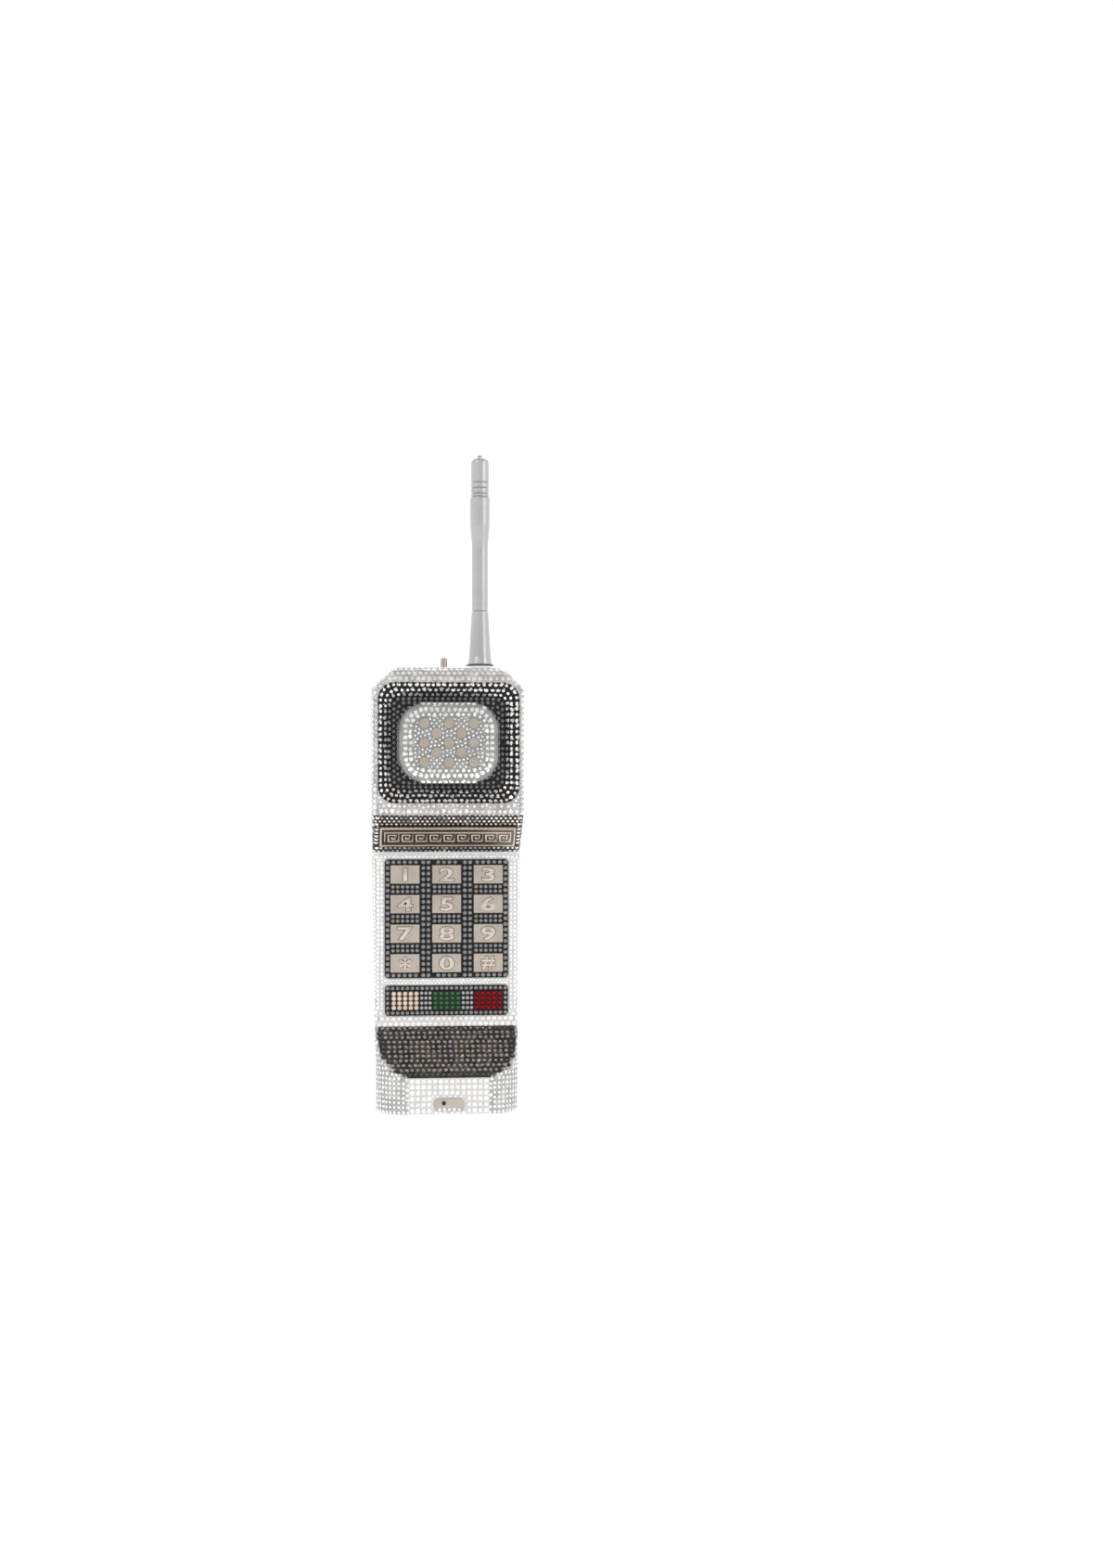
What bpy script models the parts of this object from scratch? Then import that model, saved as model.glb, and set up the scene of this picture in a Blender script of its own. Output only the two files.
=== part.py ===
"""An evening clutch shaped like an early mobile brick phone.

Two hard half shells meet in a seam plane and turn on a full-width hinge along the bottom. A sprung post
on top releases the latch. The front half, the lid, carries the earpiece, the nameplate, the keypad and
the mouthpiece. The back half carries the antenna. Metres, +Z up, the front faces -Y.
"""

from math import atan2, cos, hypot, pi, radians, sin, sqrt, tan

import bmesh
import bpy
from mathutils import Vector

MM = 0.001

# Clearances and walls
GAP = 0.3 * MM                   # air between neighbours that touch in the real bag
WALL = 1.8 * MM                  # shell wall
LINING_WALL = 0.8 * MM           # padded leather lining on board
FRAME_WALL = 1.0 * MM            # metal opening frame, across
FRAME_DEPTH = 4.0 * MM           # metal opening frame, front to back

# Body outline seen from the front
BODY_HEIGHT = 245.0 * MM
HEAD_HALF_WIDTH = 41.4 * MM
CHIN_HALF_WIDTH = 39.0 * MM
TOP_CHAMFER = 11.6 * MM          # 45 degree corners beside the antenna
BOTTOM_CHAMFER = 1.2 * MM

# Body line seen from the side: heights, and how far each face stands forward of the body's middle
HEAD_FORWARD = 30.0 * MM
GRIP_FORWARD = 10.0 * MM
CHIN_FORWARD = 31.7 * MM
CHIN_TOP = 20.1 * MM             # upper edge of the upright chin face
SCOOP_TOP = 46.6 * MM            # upper edge of the mouthpiece slope
NAME_SLOPE_BOTTOM = 143.7 * MM
NAME_SLOPE_TOP = 164.7 * MM
TOP_ROUND = 8.0 * MM             # front edge of the top
BACK_ROUND = 4.0 * MM            # top and bottom edges of the back
FRONT_EDGE = 2.5 * MM            # upright edges of the front faces
BACK_EDGE = 5.0 * MM             # upright edges of the back
CHIN_CORNER = 19.5 * MM          # upright corners of the chin, in plan
SIDE_DRAFT = radians(4.5)        # the sides close in behind the keypad's face

# Seam, hinge and lid
SEAM_Y = 8.0 * MM
HINGE_HEIGHT = 2.4 * MM
BARREL_RADIUS = 2.0 * MM
BARREL_HALF_LENGTH = 36.0 * MM
KNUCKLES = 6
PIN_RADIUS = 0.8 * MM
LEAF_THICKNESS = 1.0 * MM
LEAF_WIDTH = 9.0 * MM

# Earpiece
DISH_WIDTH, DISH_HEIGHT, DISH_CORNER = 77.3 * MM, 65.9 * MM, 9.0 * MM
DISH_FLOOR_WIDTH, DISH_FLOOR_HEIGHT, DISH_FLOOR_CORNER = 62.8 * MM, 50.8 * MM, 4.0 * MM
DISH_DEPTH = 6.0 * MM
DISH_WALL = 1.5 * MM
DISH_MIDDLE = BODY_HEIGHT - 41.4 * MM
PAD_WIDTH, PAD_HEIGHT, PAD_CORNER = 55.5 * MM, 44.0 * MM, 15.0 * MM
PAD_RISE = 5.5 * MM
DISC_RADIUS, DISC_THICKNESS = 2.8 * MM, 1.0 * MM
DISC_COLUMN = 6.8 * MM
DISC_ROW = 5.3 * MM

# Nameplate on the slope under the earpiece
NAMEPLATE_WIDTH, NAMEPLATE_HEIGHT, NAMEPLATE_THICKNESS = 75.0 * MM, 14.5 * MM, 1.2 * MM
NAMEPLATE_MIDDLE = 152.9 * MM

# Keypad
PANEL_THICKNESS = 0.8 * MM
PANEL_CORNER = 1.7 * MM
KEYPAD_WIDTH, KEYPAD_HEIGHT = 68.5 * MM, 65.8 * MM
KEYPAD_MIDDLE = 106.3 * MM
KEY_WIDTH, KEY_HEIGHT, KEY_THICKNESS = 16.2 * MM, 10.5 * MM, 1.0 * MM
KEY_COLUMN, KEY_ROW = 23.1 * MM, 16.4 * MM
FUNCTION_WIDTH, FUNCTION_HEIGHT = 68.3 * MM, 16.7 * MM
FUNCTION_MIDDLE = 60.9 * MM
FUNCTION_KEY_WIDTH, FUNCTION_KEY_HEIGHT, FUNCTION_KEY_THICKNESS = 15.7 * MM, 10.4 * MM, 0.6 * MM

# Chin plate with its speaking hole
CHIN_PLATE_WIDTH, CHIN_PLATE_HEIGHT, CHIN_PLATE_THICKNESS = 16.0 * MM, 6.3 * MM, 1.0 * MM
CHIN_PLATE_MIDDLE = 5.6 * MM
SPEAKING_HOLE_RADIUS, SPEAKING_HOLE_X = 1.3 * MM, -3.0 * MM

# Antenna
ANTENNA_X = 20.8 * MM
BOSS_RADIUS, BOSS_HEIGHT = 8.7 * MM, 2.4 * MM
GASKET_RADIUS, GASKET_HEIGHT = 8.0 * MM, 0.5 * MM
SLEEVE_HEIGHT = 30.0 * MM
SLEEVE_FOOT_RADIUS, SLEEVE_LOW_RADIUS, SLEEVE_TOP_RADIUS = 6.9 * MM, 6.2 * MM, 4.8 * MM
MAST_RADIUS, MAST_SWELL_RADIUS = 4.6 * MM, 5.6 * MM
MAST_HEIGHT = 64.4 * MM
CAP_RADIUS, CAP_HEIGHT = 5.15 * MM, 21.8 * MM
GROOVE_DEPTH, GROOVE_PITCH = 0.45 * MM, 3.2 * MM
TIP_RADIUS, TIP_HEIGHT = 1.5 * MM, 1.3 * MM
STUD_RADIUS = 2.5 * MM
STUD_BELOW_TOP = 9.0 * MM
NUT_ACROSS_CORNERS, NUT_HEIGHT = 9.2 * MM, 4.0 * MM

# Clasp
POST_RADIUS = 1.95 * MM
POST_ABOVE_TOP = 7.0 * MM
POST_BEHIND_SEAM = 3.4 * MM
POST_COLLAR_RADIUS = 3.2 * MM
POST_TRAVEL = 2.5 * MM
LATCH_PLATE_TOP = BODY_HEIGHT - 9.2 * MM
LATCH_PLATE_THICKNESS = 1.2 * MM
LATCH_PLATE_WIDTH = 15.0 * MM
HOOK_HEIGHT = 0.5 * MM
HOOK_DEPTH = 1.5 * MM
TINE_WIDTH, TINE_THICKNESS = 2.2 * MM, 1.2 * MM
TINE_X = 6.0 * MM
TINE_BOTTOM = BODY_HEIGHT - 6.4 * MM
LIP_DEPTH = 1.2 * MM
GUIDE_FLOOR = BODY_HEIGHT - 23.2 * MM
GUIDE_WALL = 1.5 * MM
SPRING_RADIUS, SPRING_WIRE, SPRING_TURNS = 2.1 * MM, 0.3 * MM, 5
LINING_TOP = GUIDE_FLOOR - 0.8 * MM

# Worked out from the sizes above
FRONT_SEAM = SEAM_Y - GAP / 2
BACK_SEAM = SEAM_Y + GAP / 2
CHIN_PLATE_FRONT = CHIN_FORWARD + GAP + CHIN_PLATE_THICKNESS
BACK_Y = CHIN_PLATE_FRONT        # the origin stands midway between the chin plate and the back
POST_Y = SEAM_Y + POST_BEHIND_SEAM
ANTENNA_Y = BACK_SEAM + BOSS_RADIUS + GAP
NOTCH_HALF = BARREL_RADIUS + 0.4 * MM
FRAME_INSET = WALL + GAP
LINING_INSET = FRAME_INSET + FRAME_WALL + GAP + FRAME_DEPTH * tan(SIDE_DRAFT)
FRAME_BOTTOM = HINGE_HEIGHT + BARREL_RADIUS + 2 * GAP
TOP_INSIDE = BODY_HEIGHT - WALL
ROUND_STEPS = 24
CORNER_STEPS = 10
INSIDE_STEPS = 6
FRONT, BACK = -1, 1


def clear_scene():
    for obj in list(bpy.data.objects):
        bpy.data.objects.remove(obj, do_unlink=True)


def new_collection(name):
    collection = bpy.data.collections.new(name)
    bpy.context.scene.collection.children.link(collection)
    return collection


clear_scene()
CLUTCH = new_collection("brick_phone_clutch")
CUTTERS = new_collection("cutters")


def finish(name, colour, roughness, metallic=0.0):
    material = bpy.data.materials.new(name)
    material.use_nodes = True
    shader = material.node_tree.nodes["Principled BSDF"]
    shader.inputs["Base Color"].default_value = (*colour, 1.0)
    shader.inputs["Roughness"].default_value = roughness
    shader.inputs["Metallic"].default_value = metallic
    return material


PAVE = finish("clear_pave", (0.62, 0.61, 0.60), 0.25, 0.3)
DARK_PAVE = finish("smoke_pave", (0.16, 0.15, 0.15), 0.3, 0.3)
PAD_PAVE = finish("earpiece_pave", (0.58, 0.57, 0.55), 0.25, 0.3)
SILVER = finish("silver_plate", (0.50, 0.45, 0.40), 0.22, 1.0)
BLACK = finish("black_enamel", (0.02, 0.02, 0.022), 0.35)
GREEN = finish("green_stones", (0.02, 0.10, 0.04), 0.2)
RED = finish("red_stones", (0.30, 0.004, 0.008), 0.2)
IVORY = finish("ivory_stones", (0.75, 0.62, 0.45), 0.3)
SATIN = finish("satin_antenna", (0.47, 0.46, 0.45), 0.4, 0.6)
RUBBER = finish("gasket_rubber", (0.03, 0.03, 0.03), 0.7)
LEATHER = finish("lining_leather", (0.42, 0.40, 0.38), 0.6)
STEEL = finish("hinge_steel", (0.55, 0.53, 0.50), 0.3, 1.0)


def keep_in(obj, collection):
    for other in list(obj.users_collection):
        other.objects.unlink(obj)
    collection.objects.link(obj)


def part(obj, name, material):
    """Files an object as a named piece of the clutch."""
    obj.name = name
    obj.data.name = name
    obj.data.materials.clear()
    obj.data.materials.append(material)
    keep_in(obj, CLUTCH)
    return obj


def shade_round(obj, angle=radians(35)):
    obj.data.shade_smooth()
    obj.data.set_sharp_from_angle(angle=angle)


def helper(obj, name):
    obj.name = name
    keep_in(obj, CUTTERS)
    obj.hide_render = True
    obj.display_type = "WIRE"
    return obj


def boolean(target, tool, operation):
    modifier = target.modifiers.new(f"{operation.lower()}_{tool.name}", "BOOLEAN")
    modifier.operation = operation
    modifier.solver = "EXACT"
    modifier.object = tool


def cut(target, tool):
    boolean(target, tool, "DIFFERENCE")


def join(target, tool):
    boolean(target, tool, "UNION")


def box(low, high):
    """A primitive cube stretched between two corners."""
    low, high = Vector(low), Vector(high)
    bpy.ops.mesh.primitive_cube_add(size=1.0, location=(low + high) / 2)
    obj = bpy.context.active_object
    obj.scale = high - low
    bpy.ops.object.transform_apply(location=False, rotation=False, scale=True)
    return obj


def rod(radius, start, end, steps=ROUND_STEPS):
    """A primitive cylinder from one point to another."""
    start, end = Vector(start), Vector(end)
    along = end - start
    bpy.ops.mesh.primitive_cylinder_add(
        vertices=steps, radius=radius, depth=along.length, location=(start + end) / 2
    )
    obj = bpy.context.active_object
    obj.rotation_euler = along.to_track_quat("Z", "Y").to_euler()
    return obj


def soften(obj, width, segments=1):
    modifier = obj.modifiers.new("soft_edges", "BEVEL")
    modifier.width = width
    modifier.segments = segments
    modifier.limit_method = "ANGLE"


def rounded_outline(width, height, radius, steps=6, middle=(0.0, 0.0)):
    """Corner points of a rounded rectangle, anticlockwise from its lower right corner's arc."""
    points = []
    for quarter, (side, up) in enumerate(((1, -1), (1, 1), (-1, 1), (-1, -1))):
        centre_x = middle[0] + side * (width / 2 - radius)
        centre_y = middle[1] + up * (height / 2 - radius)
        for step in range(steps + 1):
            angle = (quarter - 1 + step / steps) * pi / 2
            points.append((centre_x + radius * cos(angle), centre_y + radius * sin(angle)))
    return points


def circle_outline(radius, middle, steps=24):
    angles = [2 * pi * step / steps for step in range(steps)]
    return [(middle[0] + radius * cos(a), middle[1] + radius * sin(a)) for a in angles]


def flat_curve(name, outlines, thickness, front_y):
    """A flat plate in the XZ plane: the first outline is its edge, the others are its holes."""
    curve = bpy.data.curves.new(name, "CURVE")
    curve.dimensions = "2D"
    curve.fill_mode = "BOTH"
    curve.extrude = thickness / 2
    for outline in outlines:
        spline = curve.splines.new("POLY")
        spline.points.add(len(outline) - 1)
        for point, (x, z) in zip(spline.points, outline):
            point.co = (x, z, 0.0, 1.0)
        spline.use_cyclic_u = True
    obj = bpy.data.objects.new(name, curve)
    bpy.context.scene.collection.objects.link(obj)
    obj.rotation_euler = (pi / 2, 0.0, 0.0)
    obj.location = (0.0, front_y + thickness / 2, 0.0)
    return obj


def as_mesh(curve_object):
    """Turns a curve into a closed mesh, so that it can be cut."""
    bpy.context.view_layer.update()
    evaluated = curve_object.evaluated_get(bpy.context.evaluated_depsgraph_get())
    mesh = bpy.data.meshes.new_from_object(evaluated)
    shape = bmesh.new()
    shape.from_mesh(mesh)
    bmesh.ops.remove_doubles(shape, verts=shape.verts, dist=1e-6)
    shape.to_mesh(mesh)
    shape.free()
    obj = bpy.data.objects.new(curve_object.name, mesh)
    obj.matrix_world = curve_object.matrix_world.copy()
    bpy.context.scene.collection.objects.link(obj)
    bpy.data.objects.remove(curve_object)
    return obj


def mesh_object(name, shape):
    mesh = bpy.data.meshes.new(name)
    shape.to_mesh(mesh)
    shape.free()
    obj = bpy.data.objects.new(name, mesh)
    bpy.context.scene.collection.objects.link(obj)
    return obj


def loft(name, rings):
    """Skins rings of equally many points and caps the first and the last."""
    shape = bmesh.new()
    rows = [[shape.verts.new(point) for point in ring] for ring in rings]
    for row, following in zip(rows, rows[1:]):
        for i in range(len(row)):
            j = (i + 1) % len(row)
            shape.faces.new((row[i], row[j], following[j], following[i]))
    shape.faces.new(rows[0])
    shape.faces.new(rows[-1])
    bmesh.ops.recalc_face_normals(shape, faces=shape.faces)
    bmesh.ops.triangulate(shape, faces=shape.faces)
    return mesh_object(name, shape)


def turned(name, profile, middle, closed=False, steps=ROUND_STEPS):
    """A lathe part. The profile holds (radius, height) pairs, down the outer side first."""
    shape = bmesh.new()
    verts = [shape.verts.new((radius, 0.0, height)) for radius, height in profile]
    pairs = list(zip(verts, verts[1:]))
    if closed:
        pairs.append((verts[-1], verts[0]))
    for pair in pairs:
        shape.edges.new(pair)
    obj = mesh_object(name, shape)
    screw = obj.modifiers.new("lathe", "SCREW")
    screw.axis = "Z"
    screw.angle = 2 * pi
    screw.steps = steps
    screw.render_steps = steps
    screw.use_merge_vertices = True
    screw.merge_threshold = 1e-5
    screw.use_smooth_shade = False
    obj.location = (middle[0], middle[1], 0.0)
    return obj


# The body's form


def body_half_width(y, z, inset=0.0):
    """Half the body's width at one depth and height: tapered, drafted, and chamfered at the top."""
    share = min(max(z / NAME_SLOPE_TOP, 0.0), 1.0)
    tapered = CHIN_HALF_WIDTH + (HEAD_HALF_WIDTH - CHIN_HALF_WIDTH) * share
    drafted = tapered - tan(SIDE_DRAFT) * max(0.0, y + GRIP_FORWARD)
    chamfered = HEAD_HALF_WIDTH - TOP_CHAMFER + (BODY_HEIGHT - z)
    return min(drafted - inset, chamfered - inset * sqrt(2))


def line_depth(line, z):
    """How far out the face line stands at a height, between the line's own points."""
    for (z0, depth0), (z1, depth1) in zip(line, line[1:]):
        if z <= z1:
            return depth0 + (depth1 - depth0) * max(0.0, z - z0) / (z1 - z0)
    return line[-1][1]


def arc_levels(start, end, radius, steps=5):
    """Heights that sample the quarter round between two heights, closer together towards its end."""
    sign = 1 if end > start else -1
    return [start + sign * radius * sin(pi / 2 * step / steps) for step in range(1, steps + 1)]


FRONT_LINE = [
    (0.0, CHIN_FORWARD),
    (CHIN_TOP, CHIN_FORWARD),
    (SCOOP_TOP, GRIP_FORWARD),
    (NAME_SLOPE_BOTTOM, GRIP_FORWARD),
    (NAME_SLOPE_TOP, HEAD_FORWARD),
    (BODY_HEIGHT, HEAD_FORWARD),
]
BACK_LINE = [(0.0, BACK_Y), (BODY_HEIGHT, BACK_Y)]


def offset_line(line, inset):
    """A face line moved inwards by a distance, with its bends mitred."""
    moved = []
    for i, (z, depth) in enumerate(line):
        before = line[max(i - 1, 0)]
        after = line[min(i + 1, len(line) - 1)]
        angles = []
        for (z0, d0), (z1, d1) in ((before, (z, depth)), ((z, depth), after)):
            if hypot(z1 - z0, d1 - d0) > 0:
                angles.append(atan2(d1 - d0, z1 - z0))
        middle = sum(angles) / len(angles)
        half = (angles[-1] - angles[0]) / 2
        reach = inset / cos(half)
        moved.append((z + reach * sin(middle), depth - reach * cos(middle)))
    return moved


class HalfForm:
    """One half of the body, or of its lining: D-shaped sections behind or before the seam, level by level."""

    def __init__(
        self, side, line, seam, inset, bottom, top, edge, top_round, bottom_round, corner, steps=CORNER_STEPS
    ):
        self.side = side
        self.line = line
        self.seam = seam
        self.inset = inset
        self.bottom = bottom
        self.top = top
        self.edge = edge
        self.top_round = top_round
        self.bottom_round = bottom_round
        self.corner = corner
        self.steps = steps

    def inside(self, wall):
        """The same form one wall further in, and open through the seam."""
        least = 0.6 * MM
        return HalfForm(
            self.side,
            offset_line(self.line, wall),
            self.seam - self.side * MM,
            self.inset + wall,
            self.bottom + wall,
            self.top - wall,
            max(self.edge - wall, least),
            max(self.top_round - wall, least),
            max(self.bottom_round - wall, least),
            max(self.corner - wall, 0.0),
            min(self.steps, INSIDE_STEPS),
        )

    def depth(self, z):
        """Depth of the face at its middle, with the rounds at the top and bottom edges."""
        over = max(0.0, z - (self.top - self.top_round))
        under = max(0.0, self.bottom + self.bottom_round - z)
        drop = self.top_round - sqrt(max(0.0, self.top_round**2 - over**2))
        drop += self.bottom_round - sqrt(max(0.0, self.bottom_round**2 - under**2))
        return line_depth(self.line, z) - drop

    def half_width(self, y, z):
        under = max(0.0, self.bottom + BOTTOM_CHAMFER - z)
        return body_half_width(y, z, self.inset) - under

    def levels(self):
        heights = {self.bottom, self.bottom + BOTTOM_CHAMFER, NAME_SLOPE_TOP}
        heights.update(z for z, _ in self.line if self.bottom < z < self.top)
        heights.add(self.top - self.top_round)
        heights.update(arc_levels(self.top - self.top_round, self.top, self.top_round))
        heights.add(self.bottom + self.bottom_round)
        heights.update(arc_levels(self.bottom + self.bottom_round, self.bottom, self.bottom_round, 3))
        shoulder = BODY_HEIGHT - TOP_CHAMFER - self.inset * (sqrt(2) - 1)
        narrowed = tan(SIDE_DRAFT) * (BACK_Y + GRIP_FORWARD)
        heights.update(z for z in (shoulder, shoulder + narrowed / 2, shoulder + narrowed) if z < self.top)
        if self.corner:
            low, high = self.line[1][0], self.line[2][0]
            heights.update(low + (high - low) * step / self.steps for step in range(1, self.steps))
        ordered = sorted(z for z in heights if z < self.top - 0.2 * MM)
        spaced = [z for i, z in enumerate(ordered) if i == 0 or z - ordered[i - 1] > 0.2 * MM]
        return spaced + [self.top]

    def face_depth(self, x, z, width):
        """Depth of the face at a place across it, with its rounded upright edges and chin corners."""
        past_edge = max(0.0, abs(x) - (width - self.edge))
        depth = self.depth(z) - (self.edge - sqrt(max(0.0, self.edge**2 - past_edge**2)))
        if self.corner and z < KEYPAD_MIDDLE:
            past_corner = max(0.0, abs(x) - (width - self.corner))
            round_off = self.corner - sqrt(max(0.0, self.corner**2 - past_corner**2))
            depth = min(depth, self.line[0][1] - round_off)
        return depth

    def section(self, z):
        sampled = self.corner or self.edge
        edge_y = self.side * (self.depth(z) - self.edge)
        width = self.half_width(edge_y, z)
        face = []
        for step in range(self.steps + 1):
            x = width - sampled + sampled * cos(pi / 2 * step / self.steps)
            face.append((x, self.side * self.face_depth(x, z, width)))
        kink = (face[0][1] + self.seam) / 2
        if self.side == FRONT:
            kink = max(-GRIP_FORWARD, kink)
        right = [(self.half_width(y, z), y) for y in (self.seam, kink)] + face
        left = [(-x, y) for x, y in reversed(right)]
        return [(x, y, z) for x, y in right + left]

    def solid(self, name):
        return loft(name, [self.section(z) for z in self.levels()])


def hollowed(form, name, wall, material):
    """A half form with its inside taken out, open at the seam."""
    shell = form.solid(name)
    cut(shell, helper(form.inside(wall).solid(f"{name}_inside"), f"{name}_inside"))
    return part(shell, name, material)


def front_form():
    return HalfForm(
        FRONT, FRONT_LINE, FRONT_SEAM, 0.0, 0.0, BODY_HEIGHT, FRONT_EDGE, TOP_ROUND, BOTTOM_CHAMFER, CHIN_CORNER
    )


def back_form():
    return HalfForm(
        BACK, BACK_LINE, BACK_SEAM, 0.0, 0.0, BODY_HEIGHT, BACK_EDGE, BACK_ROUND, BACK_ROUND, 0.0
    )


def hinge_notch():
    """The full-width slot in both shells that the hinge barrel fills."""
    wide = 2 * HEAD_HALF_WIDTH
    top = FRAME_BOTTOM - GAP
    obj = box((-wide, SEAM_Y - NOTCH_HALF, -5 * MM), (wide, SEAM_Y + NOTCH_HALF, top))
    return helper(obj, "hinge_notch")


def post_hole():
    bottom = (0.0, POST_Y, TOP_INSIDE - 3 * FRAME_WALL)
    return helper(rod(POST_RADIUS + GAP, bottom, (0.0, POST_Y, BODY_HEIGHT + WALL)), "post_hole")


def stud_hole():
    bottom = (ANTENNA_X, ANTENNA_Y, TOP_INSIDE - WALL)
    top = (ANTENNA_X, ANTENNA_Y, BODY_HEIGHT + WALL)
    return helper(rod(STUD_RADIUS + GAP, bottom, top), "stud_hole")


def dish_hole():
    outline = rounded_outline(
        DISH_WIDTH + 2 * GAP, DISH_HEIGHT + 2 * GAP, DISH_CORNER + GAP, middle=(0.0, DISH_MIDDLE)
    )
    deep = DISH_DEPTH + 2 * WALL
    obj = as_mesh(flat_curve("dish_hole", [outline], deep, -HEAD_FORWARD - WALL))
    return helper(obj, "dish_hole")


def shells(notch):
    front = hollowed(front_form(), "front_shell", WALL, PAVE)
    cut(front, dish_hole())
    cut(front, notch)
    back = hollowed(back_form(), "back_shell", WALL, PAVE)
    cut(back, notch)
    cut(back, post_hole())
    cut(back, stud_hole())
    return front, back


def frame_outline(deepest, inset):
    """The seam outline moved inwards, where the body is narrowest along the frame's depth."""
    bottom = FRAME_BOTTOM + (inset - FRAME_INSET)
    top = BODY_HEIGHT - inset
    chamfer_inset = inset * (sqrt(2) - 1)
    shoulder = HEAD_HALF_WIDTH - tan(SIDE_DRAFT) * (deepest + GRIP_FORWARD) - inset
    corner = HEAD_HALF_WIDTH - TOP_CHAMFER - chamfer_inset
    shoulder_height = BODY_HEIGHT - inset - (shoulder - corner)
    right = [
        (body_half_width(deepest, bottom) - inset, bottom),
        (body_half_width(deepest, NAME_SLOPE_TOP) - inset, NAME_SLOPE_TOP),
        (shoulder, shoulder_height),
        (corner, top),
    ]
    return right + [(-x, z) for x, z in reversed(right)]


def opening_frame(name, front_y):
    outer = frame_outline(front_y + FRAME_DEPTH, FRAME_INSET)
    inner = frame_outline(front_y + FRAME_DEPTH, FRAME_INSET + FRAME_WALL)
    frame = as_mesh(flat_curve(name, [outer, inner], FRAME_DEPTH, front_y))
    return part(frame, name, STEEL)


def frames():
    front = opening_frame("front_frame", FRONT_SEAM - FRAME_DEPTH)
    back = opening_frame("back_frame", BACK_SEAM)
    cut(back, bpy.data.objects["post_hole"])
    return front, back


def front_lining_line():
    """The shell's inner line moved in, and held back behind the earpiece dish."""
    line = offset_line(FRONT_LINE, WALL + 2 * GAP)
    behind_dish = HEAD_FORWARD - DISH_DEPTH - DISH_WALL - 2 * GAP
    (z0, depth0), (z1, depth1) = line[3], line[4]
    bend = z0 + (z1 - z0) * (behind_dish - depth0) / (depth1 - depth0)
    return line[:4] + [(bend, behind_dish), (BODY_HEIGHT, behind_dish)]


def linings():
    bottom = FRAME_BOTTOM + FRAME_WALL + GAP
    front_shape = HalfForm(
        FRONT, front_lining_line(), FRONT_SEAM, LINING_INSET, bottom, LINING_TOP,
        FRONT_EDGE, FRONT_EDGE, BOTTOM_CHAMFER, CHIN_CORNER - WALL, INSIDE_STEPS,
    )
    back_line = offset_line(BACK_LINE, WALL + 2 * GAP)
    back_shape = HalfForm(
        BACK, back_line, BACK_SEAM, LINING_INSET, bottom, LINING_TOP,
        BACK_EDGE, BACK_ROUND, BACK_ROUND, 0.0, INSIDE_STEPS,
    )
    front = hollowed(front_shape, "front_lining", LINING_WALL, LEATHER)
    back = hollowed(back_shape, "back_lining", LINING_WALL, LEATHER)
    return front, back


# Hinge


def hinge_leaf(name, side):
    """A leaf on the shell's floor with every other knuckle of the barrel."""
    floor = WALL + GAP
    near = SEAM_Y + side * (BARREL_RADIUS + 2 * GAP)
    far = SEAM_Y + side * (BARREL_RADIUS + LEAF_WIDTH)
    ends = sorted((near, far))
    half = BARREL_HALF_LENGTH - 2 * WALL
    leaf = box((-half, ends[0], floor), (half, ends[1], floor + LEAF_THICKNESS))
    pitch = 2 * BARREL_HALF_LENGTH / KNUCKLES
    first = 0 if side == FRONT else 1
    for number in range(first, KNUCKLES, 2):
        left = -BARREL_HALF_LENGTH + number * pitch + GAP / 2
        right = left + pitch - GAP
        tab_left, tab_right = max(left, -half), min(right, half)
        tab_ends = sorted((SEAM_Y, near + side * GAP))
        tab = box((tab_left, tab_ends[0], floor), (tab_right, tab_ends[1], floor + LEAF_THICKNESS))
        join(leaf, helper(tab, f"{name}_tab_{number}"))
        knuckle = rod(BARREL_RADIUS, (left, SEAM_Y, HINGE_HEIGHT), (right, SEAM_Y, HINGE_HEIGHT), 16)
        join(leaf, helper(knuckle, f"{name}_knuckle_{number}"))
    reach = BARREL_HALF_LENGTH + 2 * MM
    bore = rod(PIN_RADIUS + GAP, (-reach, SEAM_Y, HINGE_HEIGHT), (reach, SEAM_Y, HINGE_HEIGHT), 12)
    cut(leaf, helper(bore, f"{name}_bore"))
    return part(leaf, name, STEEL)


def hinge_pin():
    half = BARREL_HALF_LENGTH
    pin = rod(PIN_RADIUS, (-half, SEAM_Y, HINGE_HEIGHT), (half, SEAM_Y, HINGE_HEIGHT), 16)
    shade_round(pin)
    return part(pin, "hinge_pin", STEEL)


# Earpiece


def facing_ring(width, height, corner, forward):
    """A rounded rectangle around the earpiece's middle, a given distance forward."""
    outline = rounded_outline(width, height, corner, middle=(0.0, DISH_MIDDLE))
    return [(x, -forward, z) for x, z in outline]


def earpiece_dish():
    floor = HEAD_FORWARD - DISH_DEPTH
    grow = 2 * DISH_WALL
    rings = [
        facing_ring(DISH_FLOOR_WIDTH, DISH_FLOOR_HEIGHT, DISH_FLOOR_CORNER, floor),
        facing_ring(DISH_WIDTH, DISH_HEIGHT, DISH_CORNER, HEAD_FORWARD),
        facing_ring(DISH_WIDTH, DISH_HEIGHT, DISH_CORNER, HEAD_FORWARD - WALL),
        facing_ring(
            DISH_FLOOR_WIDTH + grow, DISH_FLOOR_HEIGHT + grow, DISH_FLOOR_CORNER + DISH_WALL, floor - DISH_WALL
        ),
    ]
    return part(loft("earpiece_dish", rings), "earpiece_dish", DARK_PAVE)


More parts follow.
